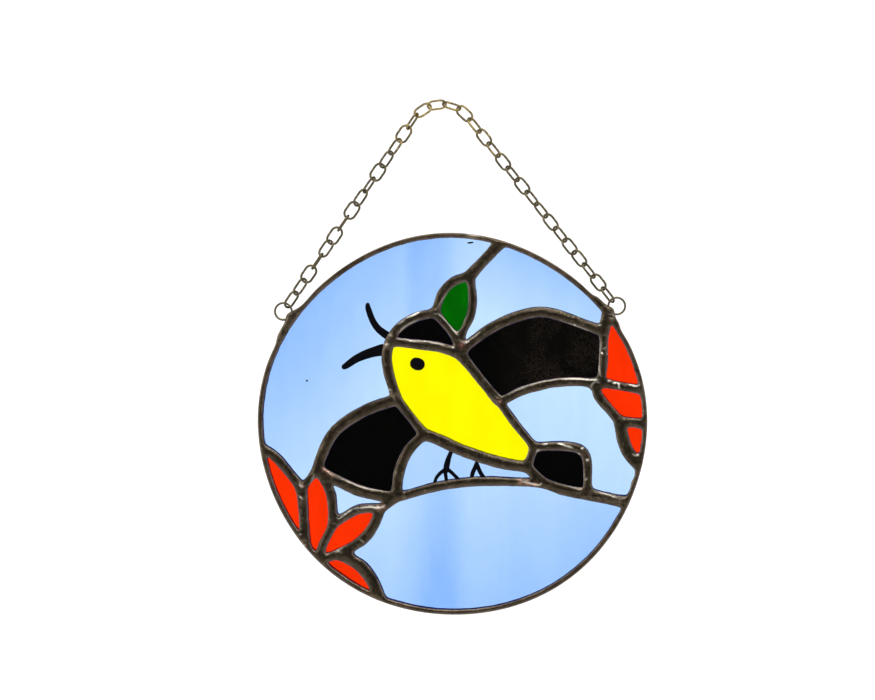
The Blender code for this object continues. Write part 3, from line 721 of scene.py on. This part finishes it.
def bead_heights(points, faces, windows, rim, sizes, seed):
    """How far each point of a bead stands from the middle of the panel."""
    edges = Edges([], windows)
    to_window, numbers = edges.look(points)
    to_rim = Edges([rim]).distances(points)
    bare = sizes.flange * (0.8 + 1.2 * noises(points, 150, seed + 12)) * (1.2 - 0.6 * edges.lit(numbers))
    bare = np.clip(bare, 0, sizes.flange * 2.2)
    lift = np.clip((to_window - bare) / (sizes.dome - bare), 0, 1)
    swell = np.clip((to_window - sizes.dome) / (2 * MM), 0, 1) * 0.18 * MM
    foil = np.clip(to_window / EDGE_LINES[0], 0, 1) * FOIL_RISE
    top = UNDER_FOIL + foil + (sizes.crown - FOIL_RISE) * (1 - (1 - lift) ** 2) ** 0.6 + swell
    edge = np.clip(to_rim / sizes.rim_round, 0, 1)
    side = WALL_LEVEL + (GLASS_FACE + sizes.crown - WALL_LEVEL) * np.sqrt(1 - (1 - edge) ** 2)
    height = np.minimum(top, side + swell)
    height = relaxed(height, faces, np.minimum(to_window, to_rim) < FLAT_ROOM, 4)
    room = np.clip(np.minimum(to_window, to_rim) / (1.3 * MM), 0, 1)
    crease = np.clip(1 - np.abs(noises(points, 340, seed + 5)) * 2.4, 0, 1)
    crumple = np.clip(noises(points, 70, seed + 8) + 0.25, 0, 1)
    uneven = noises(points, 210, seed) + noises(points, 620, seed + 3) * 0.55 - crease * crumple * 1.3
    height += room * sizes.ripple * uneven
    for x, z, reach, rise in LUMPS:
        height += rise * MM * nearness(points, x, z, reach) * room
    return height


def relaxed(height, faces, fixed, rounds):
    """Heights eased towards those of their neighbours, except the fixed ones."""
    pairs = np.array([(face[i - 1], face[i]) for face in faces for i in range(3)])
    total = np.bincount(pairs[:, 0], minlength=len(height)) + np.bincount(pairs[:, 1], minlength=len(height))
    for _ in range(rounds):
        sums = np.bincount(pairs[:, 0], height[pairs[:, 1]], len(height))
        sums += np.bincount(pairs[:, 1], height[pairs[:, 0]], len(height))
        height = np.where(fixed, height, 0.4 * height + 0.6 * sums / np.maximum(total, 1))
    return height


def solder_outlines(sizes):
    """Rim, windows and seats of the solder, each seat beside its window."""
    mesh = NODES[SOLDER_NODE].data
    windows = sorted(flat_loops(mesh, -MOUTH_LEVEL), key=area)
    rim = windows.pop()
    seats = []
    for window in windows:
        middle = window.mean(axis=0)
        rings = [loop for loop in flat_loops(mesh, -SEAT_LEVEL) if area(loop) > area(window) * 1.02]
        around = [loop for loop in rings if holds(loop, middle) and holds(loop, window[0])]
        seats.append(min(around, key=area))
    rim = spaced(curve_through(rim, True), sizes.step)
    rim -= outward(rim) * RIM_INSET
    windows = [spaced(curve_through(window, True), sizes.step) for window in windows]
    return rim, windows, seats


def holds(outline, place):
    """Whether the place is inside the outline."""
    inside = False
    for (x1, z1), (x2, z2) in zip(outline, np.roll(outline, -1, axis=0)):
        if (z1 > place[1]) != (z2 > place[1]) and place[0] < x1 + (place[1] - z1) / (z2 - z1) * (x2 - x1):
            inside = not inside
    return inside


def solder_mesh(sizes):
    """Points and faces of the whole solder body: both faces, seats and outer wall."""
    rim, windows, seats = solder_outlines(sizes)
    points = []
    faces = []

    def add(places, level, triangles):
        start = len(points)
        levels = np.broadcast_to(level, len(places))
        points.extend((x, y, z) for (x, z), y in zip(places, levels))
        faces.extend([v + start for v in face] for face in triangles)

    def wall(one, one_level, other, other_level):
        count = len(one)
        quads = [(i, (i + 1) % count, count + (i + 1) % count, count + i) for i in range(count)]
        add(np.vstack([one, other]), np.repeat([one_level, other_level], count), quads)

    lip = rim - outward(rim) * LIP_INSET
    for side, seed, shift in ((-1, 1.0, (0, 0)), (1, 31.0, sizes.back_shift)):
        mouths = [wandered(window, sizes.wander, seed) + np.array(shift) for window in windows]
        places, triangles = triangles_between(lip, mouths, bead_points(Edges([lip], mouths), sizes))
        add(places, side * bead_heights(places, triangles, mouths, lip, sizes, seed), triangles)
        for mouth, seat in zip(mouths, seats):
            places, triangles = triangles_between(seat, [mouth], [])
            add(places, side * UNDER_FOIL, triangles)
    for seat in seats:
        wall(seat, -UNDER_FOIL, seat, UNDER_FOIL)
    wall(lip, -WALL_LEVEL, rim, 0)
    wall(rim, 0, lip, WALL_LEVEL)
    return points, faces, (lip, windows, sizes.back_shift)


def mark_edges(mesh, outlines):
    """Writes what the solder's material needs to know of each point of the body."""
    lip, windows, shift = outlines
    spots = np.array([point.co[:] for point in mesh.vertices])
    places = spots[:, [0, 2]]
    front = spots[:, 1] < 0
    edge = np.zeros(len(places))
    lit = np.zeros(len(places))
    for side, move in ((front, (0, 0)), (~front, shift)):
        edges = Edges([lip], [window + np.array(move) for window in windows])
        away, numbers = edges.look(places[side])
        edge[side] = away / MM
        lit[side] = edges.lit(numbers)
    lines = list(gleam_lines())
    away, numbers = Edges([np.vstack([line for line, _ in lines])]).look(places)
    strengths = np.concatenate([strength for _, strength in lines])[numbers]
    to_lip = Edges([lip]).distances(places)
    marks = {
        "edge_distance": edge,
        "lit": lit,
        "gleam": strengths * np.exp(-(away / GLEAM_REACH) ** 2) * front,
        "rim": np.clip(1.5 - to_lip / RIM_BAND, 0, 1),
        "bare_copper": glow_of(COPPER_SPOTS, places),
        "tan": glow_of(TAN_SPOTS, places),
        "hidden": (to_lip > 1 * MM) & (np.abs(spots[:, 1]) < GLASS_FACE + 0.03 * MM),
    }
    for name, values in marks.items():
        layer = mesh.attributes.new(name, "FLOAT", "POINT")
        layer.data.foreach_set("value", values.astype(float))


def glow_of(spots, places):
    """How strongly each place lies in one of the round spots."""
    glow = np.zeros(len(places))
    for x, z, reach in spots:
        glow = np.maximum(glow, nearness(places, x, z, reach))
    return glow


def solder_finish(colours):
    """Dark patina with painted highlights and sheen along the edges and folds, rubbed lighter in places and
    bare at some joints.
    """
    metal = Surface("patinated solder", ior=1.6, specular_tint=(0.6, 0.55, 0.48, 1))
    edge = metal.attribute("edge_distance")
    lit = metal.smooth(metal.attribute("lit"), -0.3, 0.7)
    mottle = metal.clouds(700, 4, roughness=0.6)
    blotch = metal.clouds(380, 3, move=7.0, roughness=0.6)
    patches = metal.clouds(160, 3, move=3.0)
    # The core of a bead: dark, with blotches both darker and lighter than the patina
    base = metal.mix(metal.attribute("rim") * 0.8, colours.patina, colours.rim_brown)
    core = metal.mix(metal.smooth(blotch, 0.55, 0.72) * 0.45, base, colours.wear_and_highlight)
    dark = metal.smooth(patches * 0.4 + mottle * 0.6, 0.54, 0.40) * 0.55
    core = metal.mix(dark, core, tuple(c * 0.4 for c in colours.patina))
    # Its edges: a thin painted highlight on the side of the light, a wider, dimmer painted sheen on the
    # other
    flange = metal.mix(lit, colours.dim_sheen, colours.wear_and_highlight)
    width = 1.15 - lit * 0.50
    rubbed = 1 - metal.smooth(edge + (mottle + blotch - 0.9) * 1.0, width - 0.40, width)
    rubbed = rubbed * metal.smooth(patches + blotch * 0.7, 0.60, 1.0)
    colour = metal.mix(rubbed * 0.9, core, flange)
    tan = metal.attribute("tan") * metal.smooth(mottle, 0.34, 0.58)
    colour = metal.mix(tan * 0.8, colour, colours.wear_and_highlight)
    copper = metal.attribute("bare_copper") * metal.smooth(mottle, 0.30, 0.55)
    colour = metal.mix(copper * 0.85, colour, colours.copper)
    # Painted highlights along the gleams, where edges and folds catch the light
    gleam = metal.attribute("gleam") * metal.smooth(mottle, 0.20, 0.44)
    colour = metal.mix(gleam, colour, colours.bright)
    # Painted shade: the foil under the panes turns dark navy
    hidden = metal.attribute("hidden")
    metal.put("Base Color", metal.mix(hidden, colour, colours.shade_under_glass))
    metal.put("Metallic", 0.85 * (1 - gleam * 0.75) * (1 - hidden))
    metal.put("Roughness", 0.22 + mottle * 0.20 + rubbed * 0.16 + hidden * 0.3)
    metal.bump(mottle * 0.5 + blotch * 0.5 + metal.clouds(2600, 2) * 0.3, 0.60, 0.16 * MM)
    return metal


def wire_finish(colours):
    """Dark bronze wire with golden rubbed places."""
    metal = Surface("bronzed wire", metallic=1.0, ior=1.6, specular_tint=(0.10, 0.08, 0.05, 1))
    grain = metal.clouds(900, 4, roughness=0.65)
    patches = metal.clouds(120, 2, move=5.0)
    height = metal.smooth(metal.axis("Z"), -30 * MM, -2 * MM)
    rubbed = metal.smooth(grain * 0.5 + patches * 0.5 + height * 0.16, 0.56, 0.75)
    metal.put("Base Color", metal.mix(rubbed, colours.bronze, colours.gold))
    metal.put("Roughness", 0.28 + grain * 0.20)
    metal.bump(grain, 0.25, 0.05 * MM)
    return metal


def sky_finish(name, glass):
    """Clear pale blue glass with soft upright streaks, and in two panes an upright band of painted shade."""
    level, rightwards, upwards = SKY_TONES[name]
    pane = Surface(name.replace("_", " ") + " glass", transmission_weight=1.0, roughness=0.0, ior=1.5)
    right = (pane.axis("X") - PANEL_MIDDLE.x) / MM
    up = (pane.axis("Z") - PANEL_MIDDLE.z) / MM
    streaks = pane.clouds(70, 4, (1.0, 1.0, 0.16), 0.55)
    wisps = pane.clouds(190, 3, (1.0, 1.0, 0.35), 0.6, 4.0)
    tone = level + right * rightwards + up * upwards + (streaks - 0.5) * 0.36 + (wisps - 0.5) * 0.22
    # Painted shade: a deeper upright band where the backdrop's shade shows through the glass
    if name in SKY_SHADE_BANDS:
        starts, full, fades, ends, depth = SKY_SHADE_BANDS[name]
        tone = tone - pane.smooth(right, starts, full) * (1 - pane.smooth(right, fades, ends)) * depth
    violet = pane.smooth(pane.clouds(230, 3, (1.0, 1.0, 0.4), 0.6, 9.0), 0.50, 0.72) * 0.12
    blue = pane.mix(tone, glass.sky_deep, glass.sky_pale)
    pane.put("Base Color", pane.mix(violet, blue, glass.sky_violet))
    pane.bump(pane.clouds(95, 2, (1, 1, 0.5)), 0.12, 0.2 * MM)
    return pane


def tinted_finish(name, colour, clear, roughness, variation):
    """Coloured glass that lets part of the light through and glows with the rest."""
    pane = Surface(name + " glass", transmission_weight=clear, roughness=roughness, ior=1.5,
                   specular_ior_level=0.2)
    cloud = pane.clouds(70, 4, (1.0, 1.0, 0.5), 0.6)
    specks = pane.smooth(pane.clouds(520, 2, move=2.0), 0.70, 0.80)
    deeper = tuple(c * (1 - variation) for c in colour)
    shade = pane.mix(pane.smooth(cloud, 0.60, 0.38), colour, deeper)
    pane.put("Base Color", pane.mix(specks * 0.2, shade, tuple(c * 0.6 for c in colour)))
    pane.bump(pane.clouds(120, 2), 0.06, 0.2 * MM)
    return pane


def black_finish(glass):
    """Opaque glossy black glass with a painted brown reflection on the right wing and a little dust."""
    pane = Surface("black opaque glass", roughness=0.07, ior=1.45, specular_ior_level=0.2)
    rightwards = pane.smooth(pane.axis("X"), 18 * MM, 56 * MM)
    right_wing = rightwards * pane.smooth(pane.axis("Z"), -145 * MM, -140 * MM)
    specks = pane.smooth(pane.clouds(900, 3, move=3.0), 0.35, 0.65)
    # Painted reflection: a faint brown cloud on the right wing
    cloud = pane.smooth(pane.clouds(60, 2, move=1.0), 0.20, 0.75) * right_wing * (0.4 + specks * 0.9)
    dust = pane.smooth(pane.clouds(1300, 2, move=6.0), 0.70, 0.76)
    brown = pane.mix(cloud * 0.8, glass.black, BROWN_REFLECTION)
    pane.put("Base Color", pane.mix(dust * 0.35, brown, DUST))
    pane.put("Roughness", 0.05 + dust * 0.4 + cloud * 0.05)
    return pane


def paint_finish():
    """Black glass paint, a little thinner in streaks along the brush."""
    paint = Surface("black glass paint", ior=1.45, specular_ior_level=0.05)
    streak = paint.clouds(900, 3, (1.0, 1.0, 1.0), 0.6)
    paint.put("Base Color", paint.mix(streak, *PAINT_BLACKS))
    paint.put("Roughness", 0.28 + streak * 0.25)
    paint.bump(streak, 0.2, 0.02 * MM)
    return paint


def wire_axes(node):
    """Middle of a ring or link, its directions across, wide and long, and its half sizes."""
    points, _ = welded(NODES[node].data)
    spread = points - points.mean(axis=0)
    _, axes = np.linalg.eigh(spread.T @ spread)
    turned = points @ axes
    low = turned.min(axis=0)
    high = turned.max(axis=0)
    return axes @ ((low + high) / 2), axes, (high - low) / 2


def tube(middle, axes, path, radii, sides):
    """Round wire along a closed flat path of (long, wide) places."""
    points = []
    faces = []
    out = outward(path)
    for (long, wide), (out_long, out_wide), radius in zip(path, out, radii):
        for side in range(sides):
            angle = 2 * math.pi * side / sides
            reach = radius * math.cos(angle)
            place = (radius * math.sin(angle), wide + out_wide * reach, long + out_long * reach)
            points.append(middle + axes @ np.array(place))
    count = len(path)
    for ring in range(count):
        for side in range(sides):
            a = ring * sides + side
            b = ring * sides + (side + 1) % sides
            c = (ring + 1) % count * sides + (side + 1) % sides
            d = (ring + 1) % count * sides + side
            faces.append((a, b, c, d))
    return within_box(np.array(points)), faces


def within_box(points):
    """The points squeezed towards their middle just enough to lie inside the CAD model's box."""
    low = points.min(axis=0)
    high = points.max(axis=0)
    middle = (low + high) / 2
    room = np.minimum(np.array(CAD_BOX[1]) - middle, middle - np.array(CAD_BOX[0]))
    return middle + (points - middle) * np.minimum(1, room / ((high - low) / 2))


def link_path(half_long, half_wide, radius, bends):
    """Middle line of a link's wire, with the butt joint's narrow cut in one side."""
    bend = half_wide - radius
    straight = half_long - half_wide
    path = []
    for end in (1, -1):
        for step in range(bends + 1):
            angle = math.pi * (step / bends - 0.5)
            path.append((end * (straight + bend * math.cos(angle)), end * bend * math.sin(angle)))
        if end == 1:
            for share in (0.55, 0.06, 0.0, -0.06, -0.55):
                path.append((straight * share, bend))
        else:
            for share in (-0.5, 0.0, 0.5):
                path.append((straight * share, -bend))
    radii = np.full(len(path), radius)
    radii[bends + 3] = radius * JOINT_NECK
    return np.array(path), radii


def union_film(name, strokes, paint):
    """One thin domed film over all the strokes, fused where they cross."""
    rings = []
    cloud = []
    for stroke in strokes:
        outline = stroke_outline(stroke)
        rings.append(list(range(len(cloud), len(cloud) + len(outline))))
        cloud.extend(outline)
    cloud = np.array(cloud)
    grid = hexes(cloud, paint.grain)
    covered = [place for place in grid
               if any(holds(cloud[ring], place) for ring in rings)]
    everything = np.vstack([cloud, covered])
    found = geometry.delaunay_2d_cdt([Vector((x / MM, z / MM)) for x, z in everything], [], rings, 1, 1e-7)
    places = np.array([tuple(v) for v in found[0]]) * MM
    faces = found[2]
    sides = {}
    for face in faces:
        for a, b in zip(face, face[1:] + face[:1]):
            key = (min(a, b), max(a, b))
            sides[key] = sides.get(key, 0) + 1
    border = sorted({v for key, count in sides.items() if count == 1 for v in key})
    away = Edges([places[border]]).distances(places)
    rise = paint.depth * np.clip(away / PAINT_EDGE, 0.3, 1)
    base = GLASS_FACE + PAINT_GAP
    count = len(places)
    top = [(x, -(base + lift), z) for (x, z), lift in zip(places, rise)]
    under = [(x, -base, z) for x, z in places]
    both = [tuple(face) for face in faces] + [tuple(v + count for v in face[::-1]) for face in faces]
    return add_piece(name, top + under, both)


def stroke_outline(stroke):
    """Closed outline of a brush stroke with round ends, from places with widths."""
    marks = np.array(stroke, float) * MM
    marks[:, 0] += PANEL_MIDDLE.x
    marks[:, 1] += PANEL_MIDDLE.z
    line = spaced(curve_through(marks, False, 10), STROKE_STEP, False)
    run = np.gradient(line[:, :2], axis=0)
    run /= np.linalg.norm(run, axis=1)[:, None]
    out = np.column_stack([run[:, 1], -run[:, 0]])
    half = line[:, 2] / 2
    outline = list(line[:, :2] + out * half[:, None])
    outline += round_end(line[-1, :2], run[-1], out[-1], half[-1])
    outline += list((line[:, :2] - out * half[:, None])[::-1])
    outline += round_end(line[0, :2], -run[0], -out[0], half[0])
    return outline


def round_end(middle, along, out, half):
    angles = [math.pi * step / 7 for step in range(1, 7)]
    return [middle + (out * math.cos(angle) + along * math.sin(angle)) * half for angle in angles]


class SUNCATCHER_OT_glass(bpy.types.Operator):
    """Gives every pane its glass"""

    bl_idname = "suncatcher.glass"
    bl_label = "Glass"

    def execute(self, context):
        glass = context.scene.suncatcher_glass
        finishes = {
            "yellow_glass": tinted_finish("yellow", glass.yellow, 0.92, 0.10, 0.04),
            "orange_glass": tinted_finish("orange", glass.orange, 0.92, 0.10, 0.10),
            "green_glass": tinted_finish("green", glass.green, 0.92, 0.05, 0.35),
            "black_glass": black_finish(glass),
        }
        for node, slot in SLOTS.items():
            if slot == "sky_glass":
                dress(NODES[node], sky_finish(node, glass))
            elif slot in finishes:
                dress(NODES[node], finishes[slot])
        return {"FINISHED"}


class SUNCATCHER_OT_solder(bpy.types.Operator):
    """Builds the solder beads over the CAD body's outlines"""

    bl_idname = "suncatcher.solder"
    bl_label = "Solder"

    def execute(self, context):
        sizes = context.scene.suncatcher_solder
        points, faces, outlines = solder_mesh(sizes)
        beads = add_piece("solder_beads", points, faces, SOLDER_NODE)
        mark_edges(beads.data, outlines)
        dress(beads, solder_finish(sizes))
        return {"FINISHED"}


class SUNCATCHER_OT_rings(bpy.types.Operator):
    """Draws the two hanging rings round"""

    bl_idname = "suncatcher.rings"
    bl_label = "Rings"

    def execute(self, context):
        wire = context.scene.suncatcher_wire
        finish = wire_finish(wire)
        for node in ("ring_left", "ring_right"):
            middle, axes, half = wire_axes(node)
            radius = half[0]
            count = wire.bends * 5
            angles = np.linspace(0, 2 * math.pi, count, endpoint=False)
            path = np.column_stack([np.cos(angles), np.sin(angles)]) * (max(half) - radius)
            points, faces = tube(middle, axes, path, np.full(count, radius), wire.sides)
            dress(add_piece("wire_" + node, points, faces, node), finish)
        return {"FINISHED"}


class SUNCATCHER_OT_chain(bpy.types.Operator):
    """Draws every link of the chain round"""

    bl_idname = "suncatcher.chain"
    bl_label = "Chain"

    def execute(self, context):
        wire = context.scene.suncatcher_wire
        finish = wire_finish(wire)
        for node in sorted(NODES):
            if node.startswith("chain_link"):
                middle, axes, half = wire_axes(node)
                path, radii = link_path(half[2], half[1], half[0], wire.bends)
                points, faces = tube(middle, axes, path, radii, wire.sides)
                dress(add_piece("wire_" + node, points, faces, node), finish)
        return {"FINISHED"}


class SUNCATCHER_OT_paint(bpy.types.Operator):
    """Paints the beak, the eye, the feet and two small marks on the glass"""

    bl_idname = "suncatcher.paint"
    bl_label = "Paint"

    def execute(self, context):
        paint = context.scene.suncatcher_paint
        finish = paint_finish()
        figures = {
            "painted_upper_beak": (UPPER_BEAK,),
            "painted_lower_beak": (LOWER_BEAK,),
            "painted_eye": (EYE,),
            "painted_left_foot": (LEFT_LEG, *LEFT_TOES),
            "painted_right_foot": RIGHT_TOES,
            "painted_dash": (DASH,),
            "painted_dot": (DOT,),
        }
        for name, strokes in figures.items():
            dress(union_film(name, strokes, paint), finish)
        return {"FINISHED"}


class SUNCATCHER_OT_stage(bpy.types.Operator):
    """Sets up the pale stage, the lights and the camera"""

    bl_idname = "suncatcher.stage"
    bl_label = "Stage"

    def execute(self, context):
        stage = context.scene.suncatcher_stage
        add_bowl(stage)
        add_lights()
        add_camera(stage)
        return {"FINISHED"}


def add_bowl(stage):
    """A round pale floor that curves up into a wall on all sides."""
    wall = FLOOR_REACH + FLOOR_BEND
    profile = [(0.0, 0.0), (0.5, 0.0), (1.0, 0.0), (FLOOR_REACH, 0.0)]
    profile += [(FLOOR_REACH + FLOOR_BEND * math.sin(a), FLOOR_BEND - FLOOR_BEND * math.cos(a))
                for a in np.linspace(0, math.pi / 2, 13)[1:]]
    profile += [(wall, 1.6), (wall, WALL_TOP)]
    turns = 96
    mesh = bpy.data.meshes.new("floor_and_wall")
    shape = bmesh.new()
    rows = []
    for reach, height in profile:
        row = []
        for turn in range(turns):
            angle = 2 * math.pi * turn / turns
            place = (reach * math.cos(angle), reach * math.sin(angle), height - stage.floor_drop)
            row.append(shape.verts.new(place))
        rows.append(row)
    for low, high in zip(rows, rows[1:]):
        for turn in range(turns):
            after = (turn + 1) % turns
            shape.faces.new((low[turn], low[after], high[after], high[turn]))
    bmesh.ops.remove_doubles(shape, verts=shape.verts, dist=1e-6)
    shape.to_mesh(mesh)
    shape.free()
    mesh.shade_smooth()
    bowl = bpy.data.objects.new("floor_and_wall", mesh)
    bpy.context.scene.collection.objects.link(bowl)
    cloth = Surface("pale backdrop", roughness=0.9)
    cloth.put("Base Color", cloth.mix(cloth.clouds(3, 2), *BACKDROP_WHITES))
    cloth.shader.inputs["Emission Color"].default_value = (1, 1, 1, 1)
    cloth.shader.inputs["Emission Strength"].default_value = 0.20
    dress(bowl, cloth)


def add_lights():
    """A bright surround, two soft boxes, and a dark card behind the camera."""
    world = bpy.data.worlds.new("soft surround")
    bpy.context.scene.world = world
    world.use_nodes = True
    world.node_tree.nodes["Background"].inputs["Color"].default_value = (1, 1, 1, 1)
    world.node_tree.nodes["Background"].inputs["Strength"].default_value = 1.0
    for name, place, size, power in SOFT_BOXES:
        light = bpy.data.lights.new(name, "AREA")
        light.shape = "DISK"
        light.size = size
        light.energy = power
        lamp = bpy.data.objects.new(name, light)
        lamp.location = place
        lamp.rotation_euler = (PANEL_MIDDLE - Vector(place)).to_track_quat("-Z", "Y").to_euler()
        bpy.context.scene.collection.objects.link(lamp)
    mesh = bpy.data.meshes.new("dark_card")
    mesh.from_pydata(CARD_CORNERS, [], [(0, 1, 2, 3)])
    card = bpy.data.objects.new("dark_card", mesh)
    bpy.context.scene.collection.objects.link(card)
    dress(card, Surface("dark card", base_color=(0.02, 0.02, 0.02, 1), roughness=0.9))
    card.visible_camera = False
    card.visible_transmission = False
    card.visible_shadow = False


def add_camera(stage):
    """A nearly level long-lens view of the front."""
    back = Vector((0, -math.cos(stage.elevation), math.sin(stage.elevation)))
    camera = bpy.data.cameras.new("camera")
    camera.sensor_width = 36
    camera.lens = camera.sensor_width * stage.distance / stage.width
    view = bpy.data.objects.new("camera", camera)
    view.location = PICTURE_MIDDLE + back * stage.distance
    view.rotation_euler = (-back).to_track_quat("-Z", "Y").to_euler()
    bpy.context.scene.collection.objects.link(view)
    bpy.context.scene.camera = view


class SUNCATCHER_PT_panel(bpy.types.Panel):
    """Lists the suncatcher's pieces and sizes"""

    bl_idname = "SUNCATCHER_PT_panel"
    bl_label = "Suncatcher"
    bl_space_type = "VIEW_3D"
    bl_region_type = "UI"
    bl_category = "Suncatcher"

    def draw(self, context):
        for kind, (operators, _) in GROUPS.items():
            box = self.layout.box()
            group = getattr(context.scene, kind)
            for name in type(group).__annotations__:
                box.prop(group, name)
            for operator in operators:
                box.operator(operator.bl_idname)


GROUPS = {
    "suncatcher_glass": ((SUNCATCHER_OT_glass,), SuncatcherGlass),
    "suncatcher_solder": ((SUNCATCHER_OT_solder,), SuncatcherSolder),
    "suncatcher_wire": ((SUNCATCHER_OT_rings, SUNCATCHER_OT_chain), SuncatcherWire),
    "suncatcher_paint": ((SUNCATCHER_OT_paint,), SuncatcherPaint),
    "suncatcher_stage": ((SUNCATCHER_OT_stage,), SuncatcherStage),
}


def register():
    for kind, (operators, group) in GROUPS.items():
        bpy.utils.register_class(group)
        setattr(bpy.types.Scene, kind, PointerProperty(type=group))
        for operator in operators:
            bpy.utils.register_class(operator)
    bpy.utils.register_class(SUNCATCHER_PT_panel)


def unregister():
    bpy.utils.unregister_class(SUNCATCHER_PT_panel)
    for kind, (operators, group) in reversed(GROUPS.items()):
        for operator in operators:
            bpy.utils.unregister_class(operator)
        delattr(bpy.types.Scene, kind)
        bpy.utils.unregister_class(group)


def main():
    register()
    bpy.context.scene.view_settings.view_transform = "Standard"
    bpy.ops.suncatcher.stage()
    bpy.ops.suncatcher.glass()
    bpy.ops.suncatcher.solder()
    bpy.ops.suncatcher.rings()
    bpy.ops.suncatcher.chain()
    bpy.ops.suncatcher.paint()


if __name__ == "__main__":
    main()
